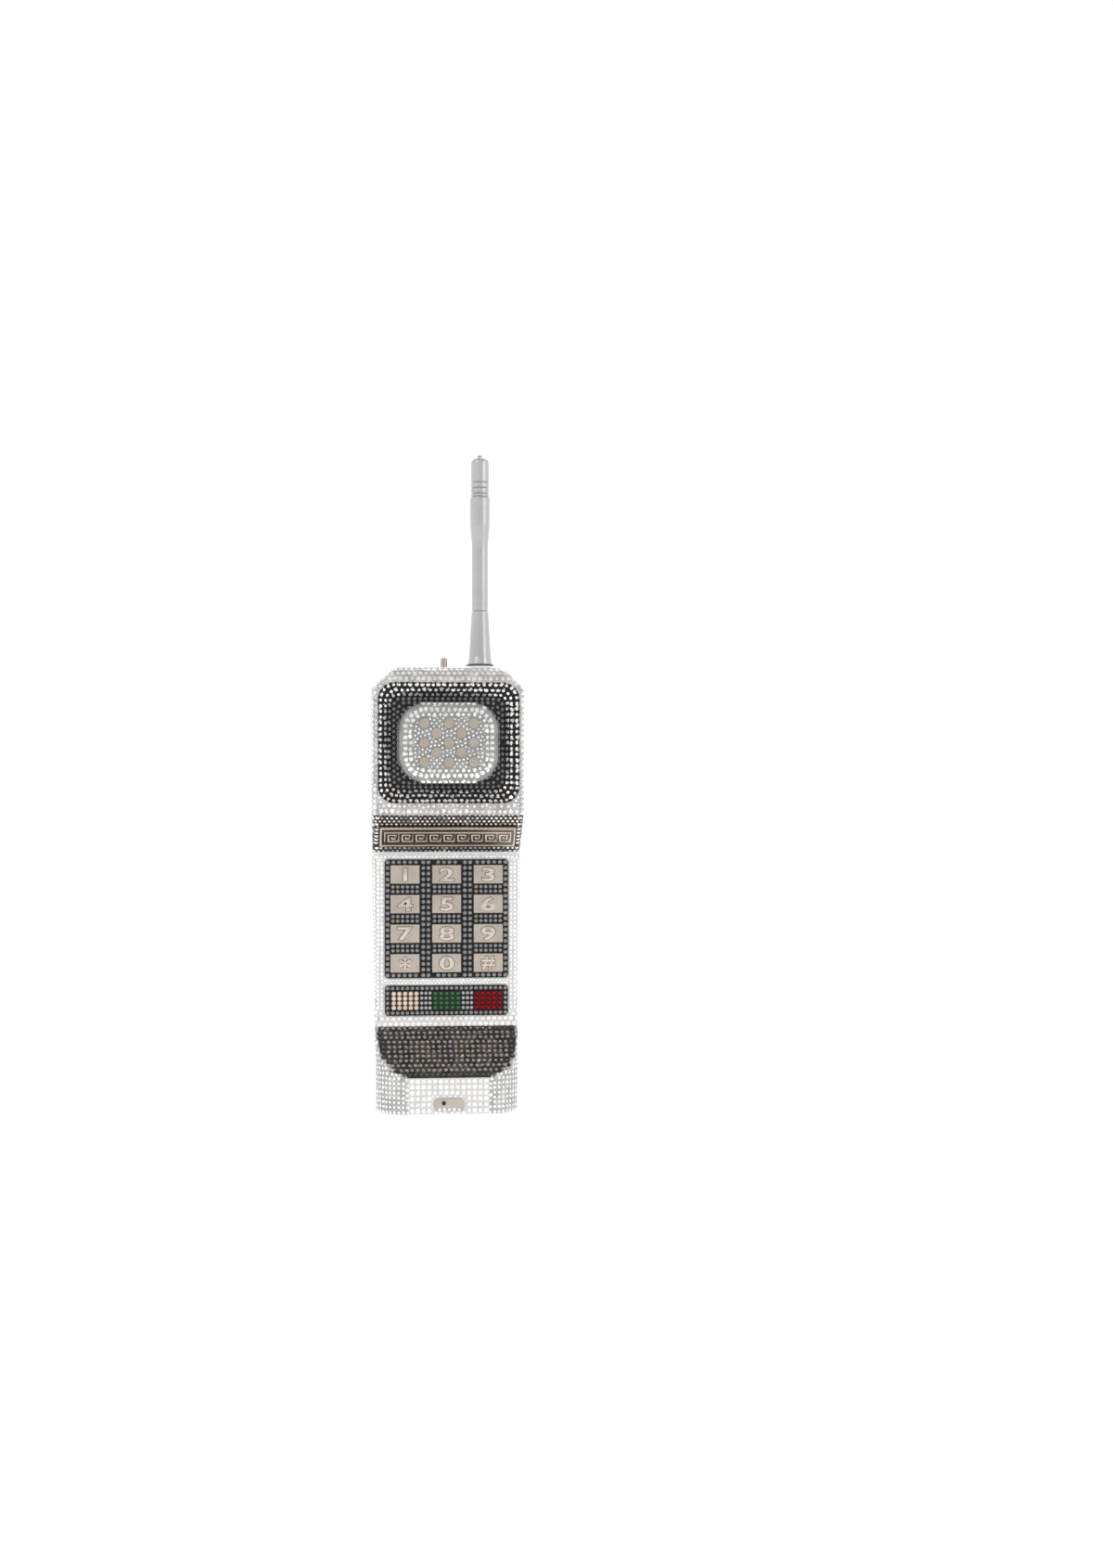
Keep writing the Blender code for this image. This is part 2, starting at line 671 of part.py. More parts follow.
def earpiece_pad():
    base = HEAD_FORWARD - DISH_DEPTH + GAP
    rings = []
    for lift, inset in ((0.0, 0.0), (0.45, 0.0), (0.75, 0.6), (0.92, 1.8), (1.0, 4.2)):
        narrower = 2 * inset * MM
        ring = facing_ring(
            PAD_WIDTH - narrower, PAD_HEIGHT - narrower, PAD_CORNER - inset * MM, base + lift * PAD_RISE
        )
        rings.append(ring)
    pad = loft("earpiece_pad", rings)
    shade_round(pad)
    return part(pad, "earpiece_pad", PAD_PAVE)


def earpiece_discs():
    """Thirteen flat discs in rows of three and two."""
    under = HEAD_FORWARD - DISH_DEPTH + GAP + PAD_RISE + GAP
    discs = []
    for row in range(5):
        places = (-2, 0, 2) if row % 2 == 0 else (-1, 1)
        height = DISH_MIDDLE + (2 - row) * DISC_ROW
        for place in places:
            x = place * DISC_COLUMN
            disc = rod(DISC_RADIUS, (x, -under, height), (x, -under - DISC_THICKNESS, height), 20)
            shade_round(disc)
            discs.append(part(disc, f"earpiece_disc_{len(discs) + 1:02d}", SILVER))
    return discs


# Plates and keys


def nameplate():
    """A plain raised plate seated on the slope."""
    angle = atan2(HEAD_FORWARD - GRIP_FORWARD, NAME_SLOPE_TOP - NAME_SLOPE_BOTTOM)
    outward = GAP + NAMEPLATE_THICKNESS / 2
    depth = line_depth(FRONT_LINE, NAMEPLATE_MIDDLE)
    half = Vector((NAMEPLATE_WIDTH, NAMEPLATE_THICKNESS, NAMEPLATE_HEIGHT)) / 2
    plate = box(-half, half)
    plate.rotation_euler = (angle, 0.0, 0.0)
    plate.location = (
        0.0,
        -depth - outward * cos(angle),
        NAMEPLATE_MIDDLE - outward * sin(angle),
    )
    soften(plate, 0.4 * MM)
    return part(plate, "nameplate", SILVER)


def face_panel(name, width, height, middle):
    front_y = -GRIP_FORWARD - GAP - PANEL_THICKNESS
    outline = rounded_outline(width, height, PANEL_CORNER, steps=4, middle=(0.0, middle))
    return part(flat_curve(name, [outline], PANEL_THICKNESS, front_y), name, BLACK)


def plaque(name, size, x, z, material):
    """A thin softened tile in front of a black panel."""
    width, height, thickness = size
    back_y = -GRIP_FORWARD - GAP - PANEL_THICKNESS - GAP
    tile = box(
        (x - width / 2, back_y - thickness, z - height / 2), (x + width / 2, back_y, z + height / 2)
    )
    soften(tile, 0.25 * MM)
    return part(tile, name, material)


def keypad():
    pieces = [face_panel("keypad_panel", KEYPAD_WIDTH, KEYPAD_HEIGHT, KEYPAD_MIDDLE)]
    names = ("1", "2", "3", "4", "5", "6", "7", "8", "9", "star", "0", "hash")
    size = (KEY_WIDTH, KEY_HEIGHT, KEY_THICKNESS)
    for number, name in enumerate(names):
        x = (number % 3 - 1) * KEY_COLUMN
        z = KEYPAD_MIDDLE + (1.5 - number // 3) * KEY_ROW
        pieces.append(plaque(f"key_{name}", size, x, z, SILVER))
    return pieces


def function_keys():
    pieces = [face_panel("function_panel", FUNCTION_WIDTH, FUNCTION_HEIGHT, FUNCTION_MIDDLE)]
    size = (FUNCTION_KEY_WIDTH, FUNCTION_KEY_HEIGHT, FUNCTION_KEY_THICKNESS)
    for column, (name, material) in enumerate((("ivory", IVORY), ("green", GREEN), ("red", RED))):
        x = (column - 1) * KEY_COLUMN
        pieces.append(plaque(f"function_key_{name}", size, x, FUNCTION_MIDDLE, material))
    return pieces


def chin_plate():
    outline = rounded_outline(
        CHIN_PLATE_WIDTH, CHIN_PLATE_HEIGHT, 2.2 * MM, steps=5, middle=(0.0, CHIN_PLATE_MIDDLE)
    )
    hole = circle_outline(SPEAKING_HOLE_RADIUS, (SPEAKING_HOLE_X, CHIN_PLATE_MIDDLE + 0.6 * MM))
    plate = flat_curve("chin_plate", [outline, hole], CHIN_PLATE_THICKNESS, -CHIN_PLATE_FRONT)
    return part(plate, "chin_plate", SILVER)


# Antenna, from the body upwards


def ring_profile(outer, inner, bottom, top, soft=0.0):
    """A bored disc's closed profile, its outer edges softened."""
    return [
        (outer - soft, top), (outer, top - soft), (outer, bottom), (inner, bottom), (inner, top),
    ]


def antenna():
    middle = (ANTENNA_X, ANTENNA_Y)
    bore = STUD_RADIUS + GAP
    boss_bottom = BODY_HEIGHT + GAP
    boss_top = boss_bottom + BOSS_HEIGHT
    boss = turned("antenna_boss", ring_profile(BOSS_RADIUS, bore, boss_bottom, boss_top, 0.8 * MM), middle, True)
    gasket_top = boss_top + GAP + GASKET_HEIGHT
    gasket = turned(
        "antenna_gasket", ring_profile(GASKET_RADIUS, bore, boss_top + GAP, gasket_top), middle, True
    )
    sleeve_bottom = gasket_top + GAP
    sleeve_top = sleeve_bottom + SLEEVE_HEIGHT
    sleeve_profile = [
        (SLEEVE_TOP_RADIUS - 0.3 * MM, sleeve_top),
        (SLEEVE_TOP_RADIUS, sleeve_top - 0.4 * MM),
        (SLEEVE_LOW_RADIUS, sleeve_bottom + 4.0 * MM),
        (SLEEVE_FOOT_RADIUS, sleeve_bottom + 0.6 * MM),
        (SLEEVE_FOOT_RADIUS, sleeve_bottom),
        (bore, sleeve_bottom),
        (bore, sleeve_top),
    ]
    sleeve = turned("antenna_sleeve", sleeve_profile, middle, True)
    mast_bottom = sleeve_top + GAP
    mast_top = mast_bottom + MAST_HEIGHT
    mast_profile = [
        (0.0, mast_top), (MAST_SWELL_RADIUS - 0.4 * MM, mast_top), (MAST_SWELL_RADIUS, mast_top - 0.8 * MM),
    ]
    for step in range(1, 9):
        share = step / 8
        ease = (1 + cos(pi * share)) / 2
        height = mast_top - (13.0 + 17.0 * share) * MM
        mast_profile.append((MAST_RADIUS + (MAST_SWELL_RADIUS - MAST_RADIUS) * ease, height))
    mast_profile += [
        (MAST_RADIUS, mast_bottom),
        (STUD_RADIUS, mast_bottom),
        (STUD_RADIUS, BODY_HEIGHT - STUD_BELOW_TOP),
        (0.0, BODY_HEIGHT - STUD_BELOW_TOP),
    ]
    mast = turned("antenna_mast", mast_profile, middle)
    cap_bottom = mast_top + GAP
    cap_top = cap_bottom + CAP_HEIGHT
    dome = 2.8 * MM
    cap_profile = [(0.0, cap_top), (CAP_RADIUS - dome, cap_top)]
    for step in range(1, 6):
        angle = pi / 2 * step / 5
        cap_profile.append((CAP_RADIUS - dome + dome * sin(angle), cap_top - dome + dome * cos(angle)))
    for groove in (2, 1, 0):
        centre = cap_bottom + 1.6 * MM + groove * GROOVE_PITCH
        cap_profile += [
            (CAP_RADIUS, centre + GROOVE_DEPTH),
            (CAP_RADIUS - GROOVE_DEPTH, centre),
            (CAP_RADIUS, centre - GROOVE_DEPTH),
        ]
    cap_profile += [(CAP_RADIUS, cap_bottom), (0.0, cap_bottom)]
    cap = turned("antenna_cap", cap_profile, middle)
    tip_bottom = cap_top + GAP
    tip_top = tip_bottom + TIP_HEIGHT
    tip_profile = [
        (0.0, tip_top), (TIP_RADIUS - 0.4 * MM, tip_top), (TIP_RADIUS, tip_top - 0.4 * MM),
        (TIP_RADIUS, tip_bottom), (0.0, tip_bottom),
    ]
    tip = turned("antenna_tip", tip_profile, middle, steps=20)
    nut_top = TOP_INSIDE - GAP
    nut = rod(NUT_ACROSS_CORNERS / 2, (*middle, nut_top - NUT_HEIGHT), (*middle, nut_top), 6)
    bore_tool = rod(bore, (*middle, nut_top - 2 * NUT_HEIGHT), (*middle, nut_top + NUT_HEIGHT))
    cut(nut, helper(bore_tool, "nut_bore"))
    pieces = [(boss, IVORY), (gasket, RUBBER), (sleeve, SATIN), (mast, SATIN), (cap, SATIN), (tip, SILVER)]
    for piece, material in pieces:
        part(piece, piece.name, material)
    part(nut, "antenna_nut", STEEL)
    return [piece for piece, _ in pieces] + [nut]


# Clasp


def clasp_post():
    bottom = LATCH_PLATE_TOP + GAP
    top = BODY_HEIGHT + POST_ABOVE_TOP
    collar_top = BODY_HEIGHT - FRAME_INSET - FRAME_WALL - GAP
    collar_bottom = collar_top - 1.0 * MM
    profile = [
        (0.0, top), (POST_RADIUS - 0.5 * MM, top), (POST_RADIUS, top - 0.5 * MM),
        (POST_RADIUS, collar_top), (POST_COLLAR_RADIUS, collar_top), (POST_COLLAR_RADIUS, collar_bottom),
        (POST_RADIUS, collar_bottom), (POST_RADIUS, bottom), (0.0, bottom),
    ]
    return part(turned("clasp_post", profile, (0.0, POST_Y), steps=24), "clasp_post", SILVER)


def tine_span(side):
    return (side * TINE_X - TINE_WIDTH / 2, side * TINE_X + TINE_WIDTH / 2)


def latch_plate():
    """The plate under the post, with a hook each side that stands in front of the striker's lips."""
    bottom = LATCH_PLATE_TOP - LATCH_PLATE_THICKNESS
    half = LATCH_PLATE_WIDTH / 2
    front, back = POST_Y - 2.5 * MM, POST_Y + 3.5 * MM
    plate = box((-half, front, bottom), (half, back, LATCH_PLATE_TOP))
    for side in (-1, 1):
        left, right = tine_span(side)
        lip_front = lip_place()[0]
        hook_back = lip_front - GAP
        hook = box(
            (left, hook_back - HOOK_DEPTH, bottom + GAP), (right, hook_back, LATCH_PLATE_TOP + HOOK_HEIGHT)
        )
        join(plate, helper(hook, f"latch_hook_{side + 1}"))
    return part(plate, "latch_plate", STEEL)


def lip_place():
    """Front and back of the striker's lips."""
    front = POST_Y + POST_RADIUS + 0.95 * MM
    return front, front + LIP_DEPTH


def striker():
    """A fork fixed to the lid's frame, whose tines pass either side of the post."""
    top = TINE_BOTTOM + TINE_THICKNESS
    root_front = SEAM_Y - 7.5 * MM
    root_back = FRONT_SEAM - GAP
    wide = TINE_X + TINE_WIDTH / 2
    fork = box((-wide, root_front, TINE_BOTTOM), (wide, root_back, top))
    block_top = BODY_HEIGHT - FRAME_INSET - FRAME_WALL - GAP
    block = box((-wide, FRONT_SEAM - FRAME_DEPTH, TINE_BOTTOM + GAP), (wide, root_back, block_top))
    join(fork, helper(block, "striker_block"))
    lip_front, lip_back = lip_place()
    for side in (-1, 1):
        left, right = tine_span(side)
        tine = box((left, root_back - 2 * MM, TINE_BOTTOM), (right, lip_back, top))
        join(fork, helper(tine, f"striker_tine_{side + 1}"))
        lip_bottom = LATCH_PLATE_TOP + HOOK_HEIGHT + GAP
        lip = box((left, lip_front, lip_bottom), (right, lip_back, TINE_BOTTOM + GAP))
        join(fork, helper(lip, f"striker_lip_{side + 1}"))
    return part(fork, "striker", STEEL)


def clasp_guide():
    """A cup for the spring on a bracket that is fixed to the back wall."""
    cup_radius = SPRING_RADIUS + SPRING_WIRE + GAP + GUIDE_WALL
    cup_top = LATCH_PLATE_TOP - LATCH_PLATE_THICKNESS - POST_TRAVEL - 2 * GAP
    wall_y = BACK_Y - WALL - GAP
    half = LATCH_PLATE_WIDTH / 2
    floor = box((-half, POST_Y, GUIDE_FLOOR), (half, wall_y, GUIDE_FLOOR + GUIDE_WALL))
    flange = box((-half, wall_y - GUIDE_WALL, GUIDE_FLOOR), (half, wall_y, cup_top))
    join(floor, helper(flange, "guide_flange"))
    cup = rod(cup_radius, (0.0, POST_Y, GUIDE_FLOOR), (0.0, POST_Y, cup_top), 24)
    join(floor, helper(cup, "guide_cup"))
    bore_radius = SPRING_RADIUS + SPRING_WIRE + GAP
    bore = rod(bore_radius, (0.0, POST_Y, GUIDE_FLOOR + GUIDE_WALL), (0.0, POST_Y, cup_top + WALL), 24)
    cut(floor, helper(bore, "guide_bore"))
    return part(floor, "clasp_guide", STEEL)


def clasp_spring():
    """A helix between the cup's floor and the latch plate."""
    bottom = GUIDE_FLOOR + GUIDE_WALL + GAP + SPRING_WIRE
    top = LATCH_PLATE_TOP - LATCH_PLATE_THICKNESS - GAP - SPRING_WIRE
    curve = bpy.data.curves.new("clasp_spring", "CURVE")
    curve.dimensions = "3D"
    curve.bevel_depth = SPRING_WIRE
    curve.bevel_resolution = 2
    curve.use_fill_caps = True
    spline = curve.splines.new("POLY")
    count = SPRING_TURNS * 10
    spline.points.add(count)
    for number, point in enumerate(spline.points):
        angle = 2 * pi * SPRING_TURNS * number / count
        height = bottom + (top - bottom) * number / count
        point.co = (SPRING_RADIUS * cos(angle), SPRING_RADIUS * sin(angle), height, 1.0)
    obj = bpy.data.objects.new("clasp_spring", curve)
    bpy.context.scene.collection.objects.link(obj)
    obj.location = (0.0, POST_Y, 0.0)
    return part(obj, "clasp_spring", STEEL)


# Assembly


def hang(pieces, name, place):
    """Parents pieces to an empty on their joint's axis, and leaves them where they are."""
    empty = bpy.data.objects.new(name, None)
    empty.location = place
    CLUTCH.objects.link(empty)
    bpy.context.view_layer.update()
    for piece in pieces:
        piece.parent = empty
        piece.matrix_parent_inverse = empty.matrix_world.inverted()


def build():
    front_shell, _ = shells(hinge_notch())
    front_frame, _ = frames()
    front_lining, _ = linings()
    lid = [front_shell, front_frame, front_lining, hinge_leaf("hinge_leaf_front", FRONT)]
    hinge_leaf("hinge_leaf_back", BACK)
    hinge_pin()
    lid += [earpiece_dish(), earpiece_pad(), *earpiece_discs(), nameplate()]
    lid += [*keypad(), *function_keys(), chin_plate(), striker()]
    antenna()
    clasp_guide()
    clasp_spring()
    hang(lid, "lid_hinge", (0.0, SEAM_Y, HINGE_HEIGHT))
    hang([clasp_post(), latch_plate()], "clasp_slide", (0.0, POST_Y, BODY_HEIGHT))


build()
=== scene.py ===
"""Crystal-covered evening clutch shaped like an early mobile phone: stones, relief, linings and finishes,
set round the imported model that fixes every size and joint."""

import math

import bpy
import numpy as np
from bpy.props import FloatProperty, FloatVectorProperty, PointerProperty
from mathutils import Matrix, Vector
from mathutils.bvhtree import BVHTree


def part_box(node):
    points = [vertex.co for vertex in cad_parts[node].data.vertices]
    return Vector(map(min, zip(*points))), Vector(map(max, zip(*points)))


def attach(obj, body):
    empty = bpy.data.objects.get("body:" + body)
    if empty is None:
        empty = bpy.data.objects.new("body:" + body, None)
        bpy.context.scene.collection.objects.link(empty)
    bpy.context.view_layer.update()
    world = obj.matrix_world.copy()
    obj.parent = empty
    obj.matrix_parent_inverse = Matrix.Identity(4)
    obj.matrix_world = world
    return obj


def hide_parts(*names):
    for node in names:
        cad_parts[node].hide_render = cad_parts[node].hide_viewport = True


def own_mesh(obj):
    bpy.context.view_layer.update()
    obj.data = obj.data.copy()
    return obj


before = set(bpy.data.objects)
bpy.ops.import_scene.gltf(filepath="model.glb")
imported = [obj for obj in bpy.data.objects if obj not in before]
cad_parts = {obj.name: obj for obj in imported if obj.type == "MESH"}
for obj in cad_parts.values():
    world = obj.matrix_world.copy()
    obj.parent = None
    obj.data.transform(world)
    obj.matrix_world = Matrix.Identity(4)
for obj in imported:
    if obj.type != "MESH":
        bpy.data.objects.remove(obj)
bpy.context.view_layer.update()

bl_info = {
    "name": "Crystal Phone Clutch",
    "version": (1, 0, 0),
    "blender": (4, 5, 0),
    "location": "3D View > Sidebar > Clutch",
    "description": "Stones, plates, linings and studio of an evening clutch shaped like an early phone",
    "category": "Object",
}

MM = 0.001
SCOOP_TOP, CHIN_TOP = 46.6 * MM, 20.1 * MM
CHIN_FRONT, GRIP_FRONT = 31.7 * MM, 10.0 * MM
HEAD_FRONT, NAME_SLOPE_HEIGHT, PLATE_HEIGHT = 30.0 * MM, 21.0 * MM, 14.5 * MM
PEARLS_REACH = 22.3 * MM
ALONG_Y = Vector((0, 1, 0))
UP = Vector((0, 0, 1))


# ---------------------------------------------------------------- sizes and colours


def diameter(name, description, millimetres):
    return FloatProperty(name=name, description=description, default=millimetres * MM,
                         min=1 * MM, max=8 * MM, unit="LENGTH", precision=5)


def tint(name, description, default):
    return FloatVectorProperty(name=name, description=description, subtype="COLOR", size=3,
                               default=default, min=0, max=1)


class ClutchStones(bpy.types.PropertyGroup):
    large: diameter("Large stone", "Diameter of the largest crystals and pearls", 3.06)
    medium: diameter("Medium stone", "Diameter of the crystals on the slope and the chin's corners", 2.56)
    small: diameter("Small stone", "Diameter of the pearls that border the keypad", 2.3)
    tiny: diameter("Tiny stone", "Diameter of the stones between the two panels", 2.0)
    spacing: FloatProperty(name="Spacing", description="Gap between two stones of a row",
                           default=0.05 * MM, min=0, max=1 * MM, unit="LENGTH", precision=5)
    sunk: FloatProperty(name="Depth in the glue", description="How far each stone sits in its bed of glue",
                        default=0.22 * MM, min=0, max=1 * MM, unit="LENGTH", precision=5)
    tilt: FloatProperty(name="Tilt", description="How far hand-set stones lean from the surface",
                        default=math.radians(1.5), min=0, max=math.radians(20), unit="ROTATION")


class ClutchColours(bpy.types.PropertyGroup):
    clear: tint("Clear crystal", "Colour of the silver-foiled clear crystals", (0.86, 0.85, 0.84))
    # the smoke tint colours the painted highlights on the smoke crystals' tables
    smoke: tint("Smoke crystal", "Colour of the smoke crystals' tables", (0.88, 0.82, 0.78))
    diamond: tint("Black diamond", "Colour of the grey crystals of the mouth", (0.42, 0.38, 0.355))
    hematite: tint("Hematite bead", "Colour of the grey half beads on black", (0.23, 0.23, 0.23))
    pearl: tint("Pearl", "Colour of the white half pearls", (0.88, 0.87, 0.85))
    plate: tint("Plate", "Colour of the polished number plates", (0.47, 0.415, 0.362))
    antenna: tint("Antenna", "Colour of the satin antenna", (0.47, 0.462, 0.45))
    lining: tint("Lining", "Colour of the kid lining", (0.52, 0.49, 0.46))
    floor: tint("Floor", "Colour of the studio's floor", (0.88, 0.88, 0.88))


class ClutchStudio(bpy.types.PropertyGroup):
    distance: FloatProperty(name="Camera distance", description="From the lens to the keypad's face",
                            default=1.45, min=0.3, max=5, unit="LENGTH")
    height: FloatProperty(name="Camera height", description="Height of the level lens above the base",
                          default=0.181, min=0, max=2, unit="LENGTH")
    aside: FloatProperty(name="Camera aside", description="How far the lens stands to the clutch's right",
                         default=0.061, min=-1, max=1, unit="LENGTH")
    turn: FloatProperty(name="Turn", description="How far round to the left of the front the camera stands",
                        default=math.radians(6.3), min=-math.pi, max=math.pi, unit="ROTATION")
    view_width: FloatProperty(name="View width", description="Width that is taken in at the keypad",
                              default=0.618, min=0.1, max=5, unit="LENGTH")
    key_power: FloatProperty(name="Key light", description="Power of the large soft light",
                             default=6.0, min=0, max=1000, unit="POWER")
    sky: FloatProperty(name="Sky", description="Strength of the even light from all round",
                       default=1.2, min=0, max=10)
    dusk: FloatProperty(name="Camera side", description="Share of that light from above the camera",
                        default=0.62, min=0, max=1)
    drop: FloatProperty(name="Floor drop", description="How far under the base the floor lies",
                        default=0.048, min=0, max=1, unit="LENGTH")


# ---------------------------------------------------------------- shader maths


class Wire:
    """A value between two nodes. Sums on wires add the Math nodes that work them out."""

    def __init__(self, finish, socket):
        self.finish, self.socket = finish, socket

    def maths(self, operation, *others):
        values = {i: value for i, value in enumerate((self, *others))}
        return self.finish.node("ShaderNodeMath", {"operation": operation}, values)

    def __add__(self, other):
        return self.maths("ADD", other)

    def __sub__(self, other):
        return self.maths("SUBTRACT", other)

    def __rsub__(self, other):
        return self.finish.node("ShaderNodeMath", {"operation": "SUBTRACT"}, {0: other, 1: self})

    def __mul__(self, other):
        return self.maths("MULTIPLY", other)

    def __truediv__(self, other):
        return self.maths("DIVIDE", other)

    def __lt__(self, other):
        return self.maths("LESS_THAN", other)

    def __gt__(self, other):
        return self.maths("GREATER_THAN", other)

    __radd__ = __add__
    __rmul__ = __mul__

    def fraction(self):
        return self.maths("FRACT")

    def root(self):
        return self.maths("SQRT")

    def absolute(self):
        return self.maths("ABSOLUTE")

    def between(self, low, high):
        """0 at low and 1 at high, held beyond them."""
        return self.finish.node("ShaderNodeMapRange", {"interpolation_type": "SMOOTHSTEP"},
                                {"Value": self, "From Min": low, "From Max": high})


class Finish:
    """One material and the nodes that it is made of."""

    def __init__(self, name, constants):
        self.material = bpy.data.materials.new(name)
        self.material.use_nodes = True
        self.tree = self.material.node_tree
        self.shader = self.tree.nodes["Principled BSDF"]
        for socket, value in constants.items():
            self.shader.inputs[socket].default_value = value

    def node(self, kind, settings=None, sockets=None, out=0):
        made = self.tree.nodes.new(kind)
        for name, value in (settings or {}).items():
            setattr(made, name, value)
        for name, value in (sockets or {}).items():
            if isinstance(value, Wire):
                self.tree.links.new(value.socket, made.inputs[name])
            else:
                made.inputs[name].default_value = value
        return Wire(self, made.outputs[out])

    def feed(self, **wires):
        for name, wire in wires.items():
            self.tree.links.new(wire.socket, self.shader.inputs[name.replace("_", " ")])
        return self.material

    def mixed(self, factor, a, b, blend="MIX"):
        """Colour a where factor is 0 and b where it is 1."""
        settings = {"data_type": "RGBA", "blend_type": blend, "clamp_factor": True}
        return self.node("ShaderNodeMix", settings, {0: factor, 6: self.colour(a), 7: self.colour(b)}, out=2)

    @staticmethod
    def colour(value):
        return value if isinstance(value, Wire) else (*tuple(value)[:3], 1.0)

    def place(self):
        return self.node("ShaderNodeTexCoord", out="Object")

    def across(self, vector):
        return [self.node("ShaderNodeSeparateXYZ", None, {0: vector}, out=i) for i in range(3)]

    def noise(self, scale, detail=2.0, roughness=0.5, where=None):
        sockets = {"Vector": where or self.place(), "Scale": scale, "Detail": detail, "Roughness": roughness}
        return self.node("ShaderNodeTexNoise", None, sockets)

    def cells(self, scale):
        return self.node("ShaderNodeTexVoronoi", None, {"Vector": self.place(), "Scale": scale})

    def stretched(self, x, y, z):
        return self.node("ShaderNodeMapping", None, {"Vector": self.place(), "Scale": (x, y, z)})

    def tone(self):
        """A number from 0 to 1 that each stone has of its own."""
        return self.node("ShaderNodeAttribute", {"attribute_name": "tone"}, out="Fac")

    def round_the_stone(self):
        """How far out a point lies from its stone's middle, 0.5 at the rim, and its turn from -0.5 to 0.5."""
        x, y, _ = self.across(self.node("ShaderNodeUVMap", {"uv_map": "cut"}))
        x, y = x - 0.5, y - 0.5
        return (x * x + y * y).root(), y.maths("ARCTAN2", x) / (2 * math.pi)

    def toned(self, colour, lift):
        grey = self.node("ShaderNodeCombineColor", None, {0: lift, 1: lift, 2: lift})
        return self.mixed(1.0, colour, grey, "MULTIPLY")

    def bump(self, height, strength, depth):
        return self.node("ShaderNodeBump", None, {"Height": height, "Strength": strength, "Distance": depth})


def shaded(colour, amount):
    return tuple(channel * amount for channel in colour)


def crystal(name, table, crown, foot, glint_share, contrast, roughness=0.16):
    """A foiled crystal with painted light: a painted highlight on the table, facets painted by turns lit and
    shaded, a painted shadow round the foot, and at times a painted coloured glint.
    """
    constants = {"Metallic": 0.85, "Roughness": roughness, "Coat Weight": 0.4, "Coat Roughness": 0.05}
    made = Finish(name, constants)
    tone = made.tone()
    out, turn = made.round_the_stone()
    # wedge and star split the face into facets, for painted reflected light and painted shade
    wedge = ((turn * 8 + tone * 7.3).fraction() - 0.5).absolute() * 2
    star = ((turn * 8 + out * 1.6).fraction() - 0.5).absolute() * 2
    # facets by turns lit and shaded, and the table's painted highlight with a painted star of reflections
    facets = made.mixed(wedge.between(0.3, 0.6), shaded(crown, contrast), crown)
    tables = made.mixed(star.between(0.15, 0.4), shaded(table, contrast * 0.5 + 0.5), table)
    colour = made.mixed(out.between(0.27, 0.3), tables, facets)
    # the foot colour is a painted shadow round the stone's rim
    colour = made.mixed(out.between(0.455, 0.485), colour, foot)
    colour = made.toned(colour, tone * 0.24 + 0.84)
    # a painted coloured glint on the tables of a few stones
    hue = made.node("ShaderNodeHueSaturation", None,
                    {"Hue": (tone * 91.7).fraction(), "Saturation": 0.8, "Color": (0.9, 0.3, 0.27, 1.0)})
    painted_glint = (tone * 37.3).fraction() < glint_share
    colour = made.mixed(painted_glint * (out < 0.28) * 0.55, colour, hue)
    return made.feed(Base_Color=colour)


def bead(name, body, edge, metallic, roughness, coat):
    """A domed half bead, with painted shade round its foot."""
    made = Finish(name, {"Metallic": metallic, "Coat Weight": coat, "Coat Roughness": 0.06})
    tone = made.tone()
    out, _ = made.round_the_stone()
    # the edge colour is painted shade round the dome's foot
    colour = made.mixed(out.between(0.38, 0.48), body, edge)
    colour = made.toned(colour, tone * 0.2 + 0.9)
    skin = made.noise(900.0, 2.0)
    return made.feed(Base_Color=colour, Roughness=skin * 0.12 + (roughness - 0.06),
                     Normal=made.bump(skin, 0.15, 0.02 * MM))


def plated(name, colour, roughness=0.18, brushed=0.0):
    """Plated metal, polished by hand: fine hairlines, soft clouds and a few worn spots."""
    made = Finish(name, {"Metallic": 1.0})
    clouds = made.noise(95.0, 4.0)
    hairs = made.noise(420.0, 2.0, 0.5, made.stretched(0.05, 1.0, 1.0))
    worn = made.noise(210.0, 3.0, 0.6).between(0.56, 0.78)
    shade = made.mixed(clouds.between(0.35, 0.65), shaded(colour, 0.9), colour)
    shade = made.mixed(worn * 0.35, shade, shaded(colour, 0.72))
    return made.feed(Base_Color=shade, Roughness=hairs * 0.06 + worn * 0.1 + (roughness - 0.03),
                     Normal=made.bump(hairs, 0.02 + brushed, 0.03 * MM))


def glue_bed(name, colour, metallic=0.4, shine=0.5):
    """The shell between the stones: plated or dark, with glue standing in small beads."""
    made = Finish(name, {"Metallic": metallic, "Specular IOR Level": shine})
    glue = made.cells(650.0)
    clouds = made.noise(160.0, 3.0)
    shade = made.mixed(clouds.between(0.4, 0.65), shaded(colour, 0.78), colour)
    return made.feed(Base_Color=shade, Roughness=glue * 0.35 + 0.28, Normal=made.bump(glue, 0.4, 0.12 * MM))


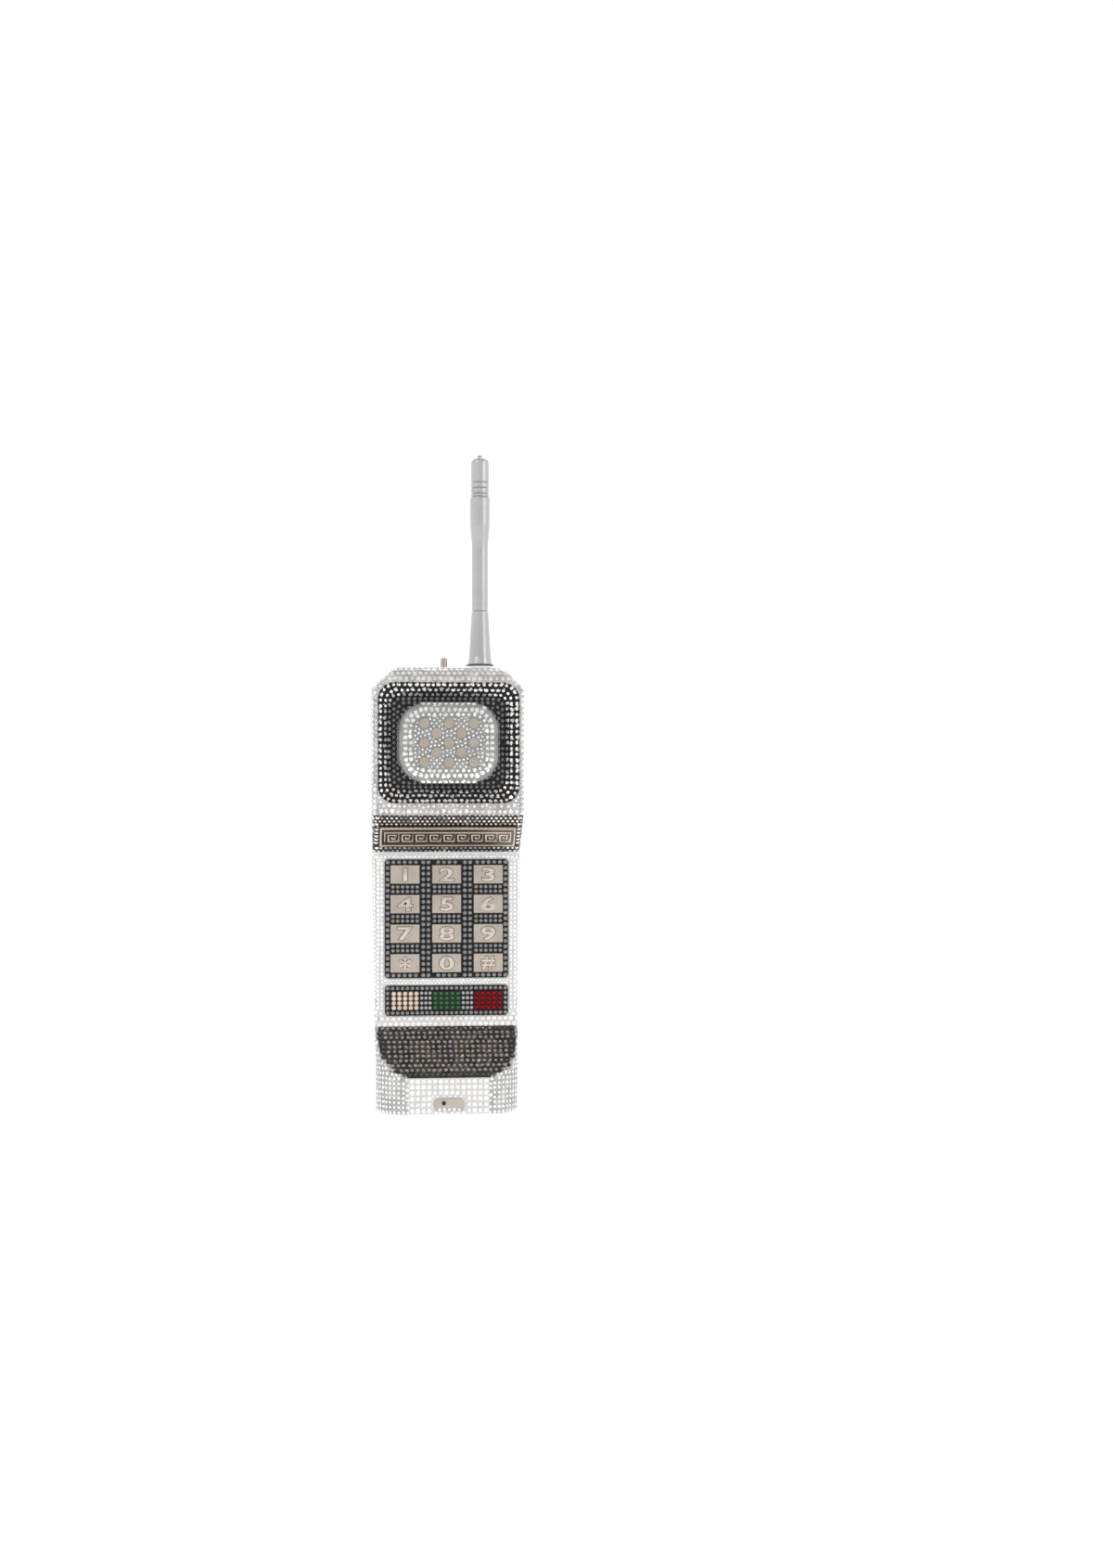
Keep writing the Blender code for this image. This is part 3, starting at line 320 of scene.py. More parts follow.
def banded_shell(name, colours):
    """The shells' bed: dark under the name band and the mouth, plated elsewhere."""
    made = Finish(name, {"Metallic": 0.35})
    side, depth, height = made.across(made.place())
    low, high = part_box("nameplate")
    soft = 0.3 * MM
    band_low, band_high, pearl_top = low.z - 3.7 * MM, high.z + 6.4 * MM, low.z - 3.5 * MM
    name_band = (height - band_low).between(0.0, soft) * (band_high - height).between(0.0, soft)
    slope = (height - CHIN_TOP) * ((CHIN_FRONT - GRIP_FRONT) / (SCOOP_TOP - CHIN_TOP)) - CHIN_FRONT
    mouth = (slope - depth).absolute() < 0.25 * MM
    mouth = mouth * (height > CHIN_TOP) * (height < SCOOP_TOP)
    grip = (height > SCOOP_TOP) * (height < pearl_top)
    chin = (height < CHIN_TOP) * (side.absolute() < PEARLS_REACH) * (depth < -25.0 * MM)
    pearled = grip.maths("MAXIMUM", chin)
    glue = made.cells(650.0)
    clouds = made.noise(160.0, 3.0)
    light = made.mixed(clouds.between(0.4, 0.65), shaded(colours.clear, 0.42), shaded(colours.clear, 0.6))
    light = made.mixed(pearled, light, shaded(colours.clear, 0.78))
    dark = made.mixed(clouds.between(0.4, 0.65), (0.012, 0.011, 0.010), (0.05, 0.042, 0.037))
    shade = made.mixed(name_band.maths("MAXIMUM", mouth), light, dark)
    return made.feed(Base_Color=shade, Roughness=glue * 0.3 + 0.3, Normal=made.bump(glue, 0.4, 0.12 * MM))


def kid_leather(name, colour):
    """Soft lining leather: pores and creases, both darkened with painted shade, and a slight sheen."""
    sheen = {"Sheen Weight": 0.25, "Sheen Roughness": 0.5}
    made = Finish(name, {"Coat Weight": 0.12, "Coat Roughness": 0.4, **sheen})
    pores = made.cells(1500.0)
    creases = made.noise(140.0, 6.0, 0.65)
    # darker in the creases and the pores: painted shade
    shade = made.mixed(creases.between(0.35, 0.7), shaded(colour, 0.8), colour)
    shade = made.mixed(pores.between(0.0, 0.25), shaded(colour, 0.62), shade)
    return made.feed(Base_Color=shade, Roughness=creases * 0.25 + 0.4, Metallic=creases * 0.3,
                     Normal=made.bump(pores + creases * 1.5, 0.5, 0.12 * MM))


def lacquer(name, colour, roughness, metallic, grain):
    """Sprayed satin lacquer over metal: a fine even grain with faint rings from turning."""
    made = Finish(name, {"Coat Weight": 0.25, "Coat Roughness": 0.18, "Metallic": metallic})
    fine = made.noise(2400.0, 2.0)
    rings = made.noise(420.0, 2.0, 0.5, made.stretched(0.02, 0.02, 1.0))
    clouds = made.noise(60.0, 3.0)
    shade = made.mixed(clouds.between(0.4, 0.65), shaded(colour, 0.95), colour)
    shade = made.mixed(rings.between(0.5, 0.75) * 0.5, shade, shaded(colour, 0.9))
    return made.feed(Base_Color=shade, Roughness=rings * 0.1 + fine * 0.08 + (roughness - 0.08),
                     Normal=made.bump(fine + rings, grain, 0.03 * MM))


def gasket(name):
    """Matte sealing washer with a little dust."""
    made = Finish(name, {"Specular IOR Level": 0.3})
    dust = made.noise(500.0, 4.0)
    shade = made.mixed(dust.between(0.45, 0.7), (0.02, 0.02, 0.02), (0.07, 0.07, 0.068))
    return made.feed(Base_Color=shade, Roughness=dust * 0.3 + 0.55, Normal=made.bump(dust, 0.3, 0.05 * MM))


def finishes(colours):
    """Every finish of the clutch, by name."""
    clear, smoke, diamond = tuple(colours.clear), tuple(colours.smoke), tuple(colours.diamond)
    plate, pearl, hematite = tuple(colours.plate), tuple(colours.pearl), tuple(colours.hematite)
    made = [
        # each crystal's table and crown colours are painted highlights and reflections, its foot colour
        # painted shadow
        crystal("clear_crystal", shaded(clear, 1.12), shaded(clear, 1.1), (0.36, 0.352, 0.345), 0.003, 0.92),
        crystal("bright_crystal", shaded(clear, 1.13), shaded(clear, 1.08), (0.2, 0.196, 0.19), 0.004, 0.8,
                roughness=0.1),
        crystal("smoke_crystal", shaded(smoke, 1.08), shaded(smoke, 1.02), (0.1, 0.09, 0.083), 0.005, 0.8),
        crystal("black_diamond_crystal", diamond, shaded(diamond, 0.7), (0.03, 0.028, 0.026), 0.03, 0.6,
                roughness=0.24),
        crystal("jet_crystal", (0.13, 0.128, 0.125), (0.06, 0.059, 0.058), (0.01, 0.01, 0.01), 0.0, 0.6),
        # the clear crystal darkened: painted shade for the pad's side in the dish
        crystal("shade_crystal", shaded(clear, 0.42), shaded(clear, 0.3), (0.05, 0.048, 0.045), 0.0, 0.6),
        # each bead's second colour is the painted shade round its foot
        bead("emerald_bead", (0.02, 0.115, 0.045), (0.003, 0.014, 0.006), 0.6, 0.22, 0.3),
        bead("ruby_bead", (0.26, 0.002, 0.003), (0.04, 0.001, 0.001), 0.85, 0.2, 0.05),
        bead("ivory_bead", (0.70, 0.55, 0.43), (0.40, 0.30, 0.22), 0.0, 0.24, 0.4),
        bead("hematite_bead", hematite, (0.016, 0.016, 0.017), 0.35, 0.34, 0.2),
        # the hematite beads darkened: painted shade of the dish's recess
        bead("dish_bead", shaded(hematite, 0.66), (0.008, 0.008, 0.009), 0.35, 0.34, 0.15),
        bead("steel_bead", (0.42, 0.42, 0.42), (0.04, 0.04, 0.04), 0.4, 0.3, 0.3),
        bead("pearl_bead", pearl, shaded(pearl, 0.62), 0.0, 0.28, 0.4),
        plated("number_plate", plate, 0.24),
        # the plate colour lightened: a painted highlight on the raised relief, which is also polished
        # smoother
        plated("relief_plate", shaded(plate, 1.3), 0.14),
        plated("hinge_plate", (0.55, 0.52, 0.47), 0.26, brushed=0.12),
        plated("mirror_field", (0.20, 0.165, 0.13), 0.12),
        banded_shell("shell_bed", colours),
        glue_bed("smoke_bed", (0.040, 0.032, 0.028)),
        glue_bed("silver_bed", shaded(clear, 0.4), 0.4),
        glue_bed("green_bed", (0.006, 0.022, 0.010)),
        glue_bed("red_bed", (0.055, 0.002, 0.003)),
        glue_bed("jet_bed", (0.012, 0.012, 0.013), 0.0, 0.2),
        lacquer("satin_lacquer", tuple(colours.antenna), 0.3, 0.75, 0.1),
        lacquer("cream_lacquer", (0.83, 0.80, 0.75), 0.3, 0.0, 0.06),
        gasket("gasket_rubber"),
        kid_leather("kid_lining", tuple(colours.lining)),
        # a dark outline round each digit: painted shadow of the raised digit
        plated("oxidised_groove", (0.2, 0.165, 0.135), 0.4),
        # a dark disc in the eyelet: painted shadow of the hole
        plated("speaking_hole", (0.05, 0.045, 0.04), 0.4),
    ]
    return {material.name: material for material in made}


# ---------------------------------------------------------------- modelling helpers


def nothing_selected():
    if bpy.context.mode != "OBJECT":
        bpy.ops.object.mode_set(mode="OBJECT")
    bpy.ops.object.select_all(action="DESELECT")


def finished(obj, body, material, slot):
    """Puts the piece's place into its mesh, and gives it its name's material and body; the slot is not used.
    """
    nothing_selected()
    obj.select_set(True)
    bpy.context.view_layer.objects.active = obj
    bpy.ops.object.transform_apply(location=True, rotation=True, scale=True)
    obj.data.materials.clear()
    obj.data.materials.append(bpy.data.materials[material])
    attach(obj, body)
    nothing_selected()
    return obj


def newest(name):
    obj = bpy.context.active_object
    obj.name = obj.data.name = name
    return obj


def select_faces(obj, test):
    """Selects, in edit mode, the faces whose middle and normal pass the test."""
    bpy.ops.object.mode_set(mode="OBJECT")
    for face in obj.data.polygons:
        face.select = bool(test(face.center, face.normal))
    for edge in obj.data.edges:
        edge.select = False
    bpy.ops.object.mode_set(mode="EDIT")
    bpy.ops.mesh.select_mode(type="FACE")


def edit_whole():
    bpy.ops.object.mode_set(mode="EDIT")
    bpy.ops.mesh.select_all(action="SELECT")


def leave_edit_facing_out():
    bpy.ops.mesh.select_all(action="SELECT")
    bpy.ops.mesh.normals_make_consistent(inside=False)
    bpy.ops.object.mode_set(mode="OBJECT")


def faceted_stone():
    """A flat-backed crystal, 1 across, its foot on the origin: eight-sided table, facets and a girdle."""
    nothing_selected()
    bpy.ops.mesh.primitive_cylinder_add(vertices=8, radius=0.5, depth=0.13, location=(0, 0, 0.065))
    stone = newest("faceted_stone")
    select_faces(stone, lambda middle, normal: normal.z > 0.9)
    bpy.ops.mesh.extrude_region_move(TRANSFORM_OT_translate={"value": (0, 0, 0.17)})
    bpy.ops.transform.resize(value=(0.56, 0.56, 1), center_override=(0, 0, 0.3))
    bpy.ops.transform.rotate(value=math.pi / 8, orient_axis="Z", center_override=(0, 0, 0.3))
    select_faces(stone, lambda middle, normal: 0.05 < normal.z < 0.95)
    bpy.ops.mesh.quads_convert_to_tris(quad_method="SHORTEST_DIAGONAL")
    bpy.ops.object.mode_set(mode="OBJECT")
    return stone


def domed_stone():
    """A half bead, 1 across, with its flat foot on the origin."""
    nothing_selected()
    bpy.ops.mesh.primitive_uv_sphere_add(segments=9, ring_count=8, radius=0.5)
    stone = newest("domed_stone")
    edit_whole()
    bpy.ops.mesh.bisect(plane_co=(0, 0, 0), plane_no=(0, 0, 1), use_fill=True, clear_inner=True)
    bpy.ops.mesh.select_all(action="SELECT")
    bpy.ops.transform.resize(value=(1, 1, 0.8), center_override=(0, 0, 0))
    bpy.ops.object.mode_set(mode="OBJECT")
    for face in stone.data.polygons:
        face.use_smooth = face.normal.z > -0.5
    return stone


class Cut:
    """The corners and faces of one modelled stone, ready to be copied to every place where it is set."""

    def __init__(self, stone):
        mesh = stone.data
        self.points = np.array([corner.co for corner in mesh.vertices])
        self.starts = np.array([face.loop_start for face in mesh.polygons])
        self.smooth = np.array([face.use_smooth for face in mesh.polygons])
        self.corners = np.array([loop.vertex_index for loop in mesh.loops])
        bpy.data.objects.remove(stone, do_unlink=True)

    def placed(self, seat, sizes, draw):
        """The stone's points on one seat, leaning a little and turned at random."""
        lean = Vector(draw.normal(0.0, sizes.tilt, 3))
        out = (seat.normal + lean).normalized()
        side = (UP if abs(out.z) < 0.9 else ALONG_Y).cross(out).normalized()
        turn = Matrix.Rotation(draw.uniform(0, 2 * math.pi), 3, "Z")
        basis = Matrix((side, out.cross(side), out)).transposed() @ turn
        foot = seat.place - seat.normal * sizes.sunk
        return self.points * seat.size @ np.array(basis).T + np.array(foot)

    def set_at(self, name, seats, sizes):
        """One mesh that holds a copy of the stone at every seat."""
        draw = np.random.default_rng(len(name) * 1009 + len(seats))
        count, corners, faces = len(seats), len(self.points), len(self.starts)
        places = np.array([self.placed(seat, sizes, draw) for seat in seats])
        mesh = bpy.data.meshes.new(name)
        mesh.vertices.add(count * corners)
        mesh.vertices.foreach_set("co", places.ravel())
        step = np.arange(count)[:, None]
        mesh.loops.add(count * len(self.corners))
        mesh.loops.foreach_set("vertex_index", (self.corners + step * corners).ravel())
        mesh.polygons.add(count * faces)
        mesh.polygons.foreach_set("loop_start", (self.starts + step * len(self.corners)).ravel())
        mesh.polygons.foreach_set("use_smooth", np.tile(self.smooth, count))
        mesh.update(calc_edges=True)
        seen = self.points[self.corners][:, :2] + 0.5
        mesh.uv_layers.new(name="cut").uv.foreach_set("vector", np.tile(seen.ravel(), count))
        tone = mesh.attributes.new("tone", "FLOAT", "POINT")
        tone.data.foreach_set("value", np.repeat(draw.uniform(0, 1, count), corners))
        mesh.validate()
        obj = bpy.data.objects.new(name, mesh)
        bpy.context.scene.collection.objects.link(obj)
        return obj


class Seat:
    """Where one stone sits: its foot, the way it faces and its diameter."""

    def __init__(self, place, normal, size):
        self.place, self.normal, self.size = Vector(place), Vector(normal), size


class Bed:
    """All the stones laid so far, kept by place, so that no two are laid on one spot."""

    CELL = 3.3 * MM

    def __init__(self):
        self.cells, self.groups = {}, {}

    def cell(self, place):
        return tuple(math.floor(c / self.CELL) for c in place)

    def near(self, place):
        x, y, z = self.cell(place)
        for i in (-1, 0, 1):
            for j in (-1, 0, 1):
                for k in (-1, 0, 1):
                    yield from self.cells.get((x + i, y + j, z + k), ())

    def lay(self, group, place, normal, size, closeness=0.93):
        """Lays a stone where there is room for it."""
        for other in self.near(place):
            room = (other.size + size) / 2 * closeness
            if (other.place - place).length < room and other.normal.dot(normal) > -0.5:
                return
        self.groups.setdefault(group, []).append(self.block(place, normal, size))

    def block(self, place, normal, size):
        """Keeps a round spot free of stones."""
        seat = Seat(place, normal, size)
        self.cells.setdefault(self.cell(place), []).append(seat)
        return seat


def surface(node):
    """A CAD node's surface, to lay stones on."""
    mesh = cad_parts[node].data
    return BVHTree.FromPolygons([corner.co.copy() for corner in mesh.vertices],
                                [list(face.vertices) for face in mesh.polygons])


def struck(tree, start, aim):
    """Where a ray from outside first meets the surface, and the way that spot faces."""
    place, normal, _, _ = tree.ray_cast(Vector(start), Vector(aim).normalized())
    if place is None:
        return None
    return place, (normal if normal.dot(Vector(aim)) < 0 else -normal)


def anywhere(place, normal):
    return True


def runs(tree, rays, keep=anywhere, jump=2.5 * MM):
    """The lines that a fan of rays draws on the surface, broken where they miss or the surface steps."""
    line, lines = [], []
    for start, aim in rays:
        hit = struck(tree, start, aim)
        kept = hit is not None and keep(*hit)
        if not kept or (line and (line[-1][0] - hit[0]).length > jump):
            lines.append(line)
            line = []
        if kept:
            line.append(hit)
    return [line for line in (*lines, line) if len(line) > 1]


def spaced(line, pitch, stagger=False, margin=0.0, closed=False, even=False):
    """Places along a line, at the pitch or, where closed or even, at the nearest pitch that fills it."""
    steps = [(b[0] - a[0]).length for a, b in zip(line, line[1:])]
    length = sum(steps) - 2 * margin
    count = max(1, round(length / pitch)) if closed else max(1, int(length / pitch + 0.25))
    gap = length / count if closed or even else pitch
    if closed:
        marks = [margin + i * gap for i in range(count)]
    else:
        number = count if stagger else count + 1
        marks = [margin + length / 2 + (i - (number - 1) / 2) * gap for i in range(number)]
    found, passed, i = [], 0.0, 0
    for mark in marks:
        while i < len(steps) - 1 and passed + steps[i] < mark:
            passed += steps[i]
            i += 1
        part = (mark - passed) / max(steps[i], 1e-9)
        if -0.2 <= part <= 1.2:
            part = min(max(part, 0.0), 1.0)
            (near, facing), (far, turned) = line[i], line[i + 1]
            found.append((near.lerp(far, part), facing.lerp(turned, part).normalized()))
    return found


def in_box(place, low, high, margin):
    return low.x - margin < place.x < high.x + margin and low.z - margin < place.z < high.z + margin


def ring_points(half_x, half_z, corner, step=0.4 * MM):
    """A rounded rectangle about the origin, from the middle of its right side, as (x, z) pairs."""
    path = []
    for turn, (sx, sz) in enumerate(((1, 1), (-1, 1), (-1, -1), (1, -1))):
        centre = ((half_x - corner) * sx, (half_z - corner) * sz)
        for i in range(13):
            angle = math.pi / 2 * (turn + i / 12)
            path.append((centre[0] + corner * math.cos(angle), centre[1] + corner * math.sin(angle)))
    path = [(half_x, 0.0)] + path + [(half_x, 0.0)]
    fine = []
    for a, b in zip(path, path[1:]):
        pieces = max(1, int(math.hypot(b[0] - a[0], b[1] - a[1]) / step))
        for i in range(pieces):
            fine.append((a[0] + (b[0] - a[0]) * i / pieces, a[1] + (b[1] - a[1]) * i / pieces))
    return fine + [path[-1]]


# ---------------------------------------------------------------- the body's zones

BLOCK_COLOURS = ("ivory", "green", "red")
FAR = 200 * MM
REACH = 42.5 * MM
ACROSS = 41.8 * MM
RAY_STEP = 0.35 * MM
SLOPE_FOOT = 17.0 * MM
HEAD_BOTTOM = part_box("nameplate")[1].z + 6.5 * MM
BAND_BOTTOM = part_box("nameplate")[0].z - 3.95 * MM
SEAM = 8.0 * MM
BODY_TOP = 245.0 * MM


def side_zone(height, side):
    """Which group a stone on the sides, top or back belongs to, by its height."""
    if height > HEAD_BOTTOM:
        return f"head_{side}_crystals"
    if height > BAND_BOTTOM:
        return f"band_{side}_crystals"
    if height > SCOOP_TOP:
        return f"grip_{side}_pearls"
    return f"chin_{side}_crystals"


def middle_of(node):
    low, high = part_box(node)
    return (low + high) / 2, (high - low) / 2


def keep_clear(bed):
    """Keeps stones off the antenna's foot and the clasp."""
    boss, half = middle_of("antenna_boss")
    for out in (0.35 * half.x, 0.85 * half.x):
        for i in range(24):
            angle = math.radians(i * 15)
            spot = Vector((boss.x + out * math.cos(angle), boss.y + out * math.sin(angle), BODY_TOP))
            bed.block(spot, UP, 2.4 * MM)
    post, _ = middle_of("clasp_post")
    bed.block(Vector((post.x, post.y, BODY_TOP)), UP, 4.4 * MM)


def level_rays(height, step=RAY_STEP):
    """Rays from ahead, side by side at one height."""
    return [((x, -FAR, height), ALONG_Y) for x in np.arange(-REACH, REACH, step)]


def ring_rays(centre, half_x, half_z, corner):
    """Rays from ahead round a rounded rectangle."""
    return [((x, -FAR, centre.z + z), ALONG_Y) for x, z in ring_points(half_x, half_z, corner)]


def lay_lines(bed, group, lines, size, gap, closeness=0.93, **spacing):
    for line in lines:
        for place, normal in spaced(line, size + gap, **spacing):
            bed.lay(group, place, normal, size, closeness)


def lay_rows(bed, group, tree, heights, size, gap, keep):
    """Level rows across the front, every other one shifted by half a stone."""
    for row, height in enumerate(heights):
        lay_lines(bed, group, runs(tree, level_rays(height), keep), size, gap, stagger=row % 2 == 1)


def lay_columns(bed, group, tree, columns, heights, size, aim=ALONG_Y):
    """Upright columns, each stone struck from ahead or, with a leaning aim, from the side that it is on."""
    for x in columns:
        lean = Vector(aim)
        lean.x *= -math.copysign(1, x)
        for height in heights:
            hit = struck(tree, Vector((x, -10 * MM, height)) - lean.normalized() * FAR, lean)
            if hit:
                bed.lay(group, *hit, size)


def lay_front(bed, sizes):
    """The stones of the lid's front, from the earpiece down to the chin."""
    large, gap = sizes.large, sizes.spacing
    front = surface("front_shell")
    lay_crown(bed, front, large, gap)
    for side in (-1, 1):
        for height in np.arange(HEAD_BOTTOM + 1.2 * MM, 234 * MM, large + gap):
            aim = Vector((-0.62 * side, 0.78, 0))
            hit = struck(front, Vector((38.9 * MM * side, -27.5 * MM, height)) - aim * 30 * MM, aim)
            if hit:
                bed.lay("head_face_crystals", *hit, large)
    dish_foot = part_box("earpiece_dish")[0].z
    below = [dish_foot - (large / 2 + 0.1 * MM), dish_foot - (1.5 * large + 0.2 * MM)]
    lay_rows(bed, "head_face_crystals", front, below, large, gap, lambda place, normal: place.y < -26 * MM)
    lay_slope(bed, sizes, front)
    lay_grip(bed, sizes, front)
    lay_mouth(bed, sizes, front)


def lay_crown(bed, front, large, gap):
    """Rows over the head's rounded top edge, each along its whole width."""
    centre = Vector((0, -22 * MM, 237 * MM))
    for row, angle in enumerate(np.radians([11.0, 33.5, 56.0, 78.5])):
        aim = Vector((0, math.cos(angle), -math.sin(angle)))
        start = centre - aim * FAR
        rays = [(start + Vector((x, 0, 0)), aim) for x in np.arange(-38.5 * MM, 38.5 * MM, RAY_STEP)]
        lines = runs(front, rays, lambda place, normal: place.z > 236.4 * MM)
        lay_lines(bed, "head_face_crystals", lines, large, gap, stagger=row % 2 == 1)


def lay_slope(bed, sizes, front):
    """The smoke stones round the nameplate."""
    medium, gap, group = sizes.medium, sizes.spacing, "band_face_crystals"
    low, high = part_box("nameplate")

    def clear_of_plate(place, normal):
        return not in_box(place, low, high, 0.9 * MM) and normal.z < 0.1

    upper = [high.z + rise for rise in (1.35 * MM, 3.05 * MM, 4.75 * MM, 6.2 * MM)]
    lower = [low.z - drop for drop in (1.15 * MM, 2.85 * MM)]
    for heights in (upper, lower):
        lay_rows(bed, group, front, heights, medium, gap, clear_of_plate)
    ends = np.arange(low.z - 0.2 * MM, high.z + 1.0 * MM, (medium + gap) * 0.724)
    lay_columns(bed, group, front, (-39.4 * MM, 39.4 * MM), ends, medium)
    lay_columns(bed, group, front, (-41.5 * MM, 41.5 * MM), ends, medium, (1, 1, 0))


def upright(place, normal):
    return normal.y < -0.55 and abs(normal.z) < 0.3


def lay_grip(bed, sizes, front):
    """White stones round the two black panels."""
    large, small, tiny, gap = sizes.large, sizes.small, sizes.tiny, sizes.spacing
    group = "grip_face_pearls"
    keypad_low, keypad_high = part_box("keypad_panel")
    lower_low, lower_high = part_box("function_panel")
    top_rows = [keypad_high.z + small * 0.58, keypad_high.z + small * 1.5]
    lay_rows(bed, group, front, top_rows, small, gap, upright)
    between = [keypad_low.z - tiny * 0.56, lower_high.z + tiny * 0.56]
    lay_rows(bed, group, front, between, tiny, gap, lambda place, normal: abs(place.x) < 34.6 * MM)
    heights = np.arange(SCOOP_TOP + 3.4 * large, keypad_high.z + small, small + gap)
    for out in (small * 0.62, small * 1.64):
        lay_columns(bed, group, front, (-keypad_high.x - out, keypad_high.x + out), heights, small)
    lay_columns(bed, group, front, (-40.6 * MM, 40.6 * MM), heights + small / 2, small, (0.8, 1.0, 0))
    big_rows = [lower_low.z - large * 0.56, lower_low.z - large * 1.58]
    lay_rows(bed, "big_pearls", front, big_rows, large, gap, upright)


def lay_mouth(bed, sizes, front):
    """Grey stones down the mouthpiece slope, pearls on the chin and clear stones round its corners."""
    large, gap = sizes.large, sizes.spacing

    def sloping(place, normal):
        return normal.z > 0.12 and place.z > SLOPE_FOOT

    line = [struck(front, (0.0, -FAR, z), ALONG_Y) for z in np.arange(SCOOP_TOP, CHIN_TOP, -0.25 * MM)]
    marks = spaced([hit for hit in line if hit], large + gap, margin=large / 2, even=True)
    for row, (mark, _) in enumerate(marks):
        for run in runs(front, level_rays(mark.z, 0.3 * MM), sloping):
            spots = spaced(run, large + gap * 0.5, row % 2 == 1, margin=large * 0.45)
            for i, spot in enumerate(spots):
                edge = row == len(marks) - 1 or i in (0, len(spots) - 1)
                bed.lay("mouth_border_crystals" if edge else "mouth_crystals", *spot, large)
    lay_chin_pearls(bed, sizes, front)
    lay_chin_corners(bed, sizes.medium, gap, front)


def lay_chin_pearls(bed, sizes, front):
    large, gap = sizes.large, sizes.spacing
    low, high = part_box("chin_plate")
    columns = 14
    for row in range(6):
        height = CHIN_TOP - 1.7 * MM - row * (large + 0.13 * MM)
        for i in range(columns):
            x = (i - (columns - 1) / 2) * (large + gap)
            hit = struck(front, (x, -FAR, height), ALONG_Y)
            if not hit or abs(hit[0].x) >= PEARLS_REACH or in_box(hit[0], low, high, 0.7 * MM):
                continue
            if abs(hit[1].z) < 0.5:
                bed.lay("chin_pearls", *hit, large)
    for i in range(-2, 3):
        bed.lay("chin_pearls", Vector((i * 2.7 * MM, low.y, low.z + 0.55 * MM)), -ALONG_Y, sizes.tiny, 0.5)


def lay_chin_corners(bed, medium, gap, front):
    """Level rows round the chin's two upright corners, struck from all round each corner's middle."""

    def walls(place, normal):
        return abs(normal.z) < 0.12 and abs(place.x) > 22.0 * MM and place.y < -8.5 * MM

    for height in np.arange(1.5 * MM, SCOOP_TOP - 1 * MM, medium + gap):
        for side in (-1, 1):
            centre = Vector((18.0 * MM * side, -11.0 * MM, height))
            fan = []
            for angle in np.radians(np.arange(-90, 0.1, 1.0)):
                aim = Vector((-side * math.cos(angle), -math.sin(angle), 0))
                fan.append((centre - aim * 60 * MM, aim))
            lines = runs(front, fan, walls, jump=3 * MM)
            lay_lines(bed, "chin_front_crystals", lines, medium, gap, even=True)


def lay_sides(bed, sizes, node, side, depths):
    """Lines of stones round the outline: up one side, over the top and down the other."""
    shell = surface(node)
    large, gap = sizes.large, sizes.spacing
    foot, hub, step = 1.7 * MM, 205 * MM, 0.8 * MM
    for row, depth in enumerate(depths):
        rays = [((FAR, depth, z), (-1, 0, 0)) for z in np.arange(foot, hub, step)]
        for angle in np.radians(np.arange(0, 180.5, 0.7)):
            aim = Vector((-math.cos(angle), 0, -math.sin(angle)))
            rays.append((Vector((0, depth, hub)) - aim * FAR, aim))
        rays += [((-FAR, depth, z), (1, 0, 0)) for z in np.arange(hub, foot, -step)]

        def outside(place, normal):
            on_grip = SCOOP_TOP <= place.z <= BAND_BOTTOM
            return abs(normal.y) < 0.75 and (depth > -8 * MM or not on_grip)

        for line in runs(shell, rays, outside, jump=4 * MM):
            for place, normal in spaced(line, large + gap, row % 2 == 1):
                bed.lay(side_zone(place.z, side), place, normal, large)


def lay_back(bed, sizes):
    """Level rows over the back, round its soft edges."""
    shell = surface("back_shell")
    large, gap = sizes.large, sizes.spacing
    for row, height in enumerate(np.arange(1.8 * MM, BODY_TOP, large + gap)):
        rays = [((x, FAR, height), -ALONG_Y) for x in np.arange(-REACH, REACH, RAY_STEP)]
        for line in runs(shell, rays, lambda place, normal: normal.y > 0.3 and place.y > 20 * MM):
            for place, normal in spaced(line, large + gap, row % 2 == 1):
                bed.lay(side_zone(place.z, "back"), place, normal, large)


def lay_earpiece(bed, sizes):
    """Smoke stones down the dish's walls, grey beads on its floor, and the raised pad's crystals."""
    large, gap = sizes.large, sizes.spacing
    dish, pad = surface("earpiece_dish"), surface("earpiece_pad")
    centre, half = middle_of("earpiece_dish")
    for inset_x, inset_z, corner in ((0.95, 0.95, 8.4), (3.7, 3.75, 6.6), (6.1, 6.25, 5.0)):
        rays = ring_rays(centre, half.x - inset_x * MM, half.z - inset_z * MM, corner * MM)
        lay_lines(bed, "bezel_crystals", runs(dish, rays, jump=4 * MM), large, gap, 0.84, closed=True)
    bead_size, bead_gap = 2.3 * MM, 0.8 * MM
    for inset, corner, stagger in ((8.75 * MM, 3.4 * MM, False), (10.9 * MM, 4.5 * MM, True)):
        rays = ring_rays(centre, half.x - inset, half.z - inset, corner)
        lines = runs(dish, rays, jump=4 * MM)
        lay_lines(bed, "dish_beads", lines, bead_size, bead_gap, stagger=stagger)
    low, high = centre - half, centre + half
    wall, step = 8 * MM, 0.9 * MM
    for x in np.arange(low.x + wall, high.x - wall, step):
        for z in np.arange(low.z + wall, high.z - wall, step):
            hit = struck(dish, (x, -FAR, z), ALONG_Y)
            under_pad = struck(pad, (x, -FAR, z), ALONG_Y)
            if hit and not under_pad and hit[1].y < -0.9 and hit[0].y > -25 * MM:
                bed.lay("dish_beads", *hit, bead_size, 1.15)
    lay_pad(bed, sizes, pad)


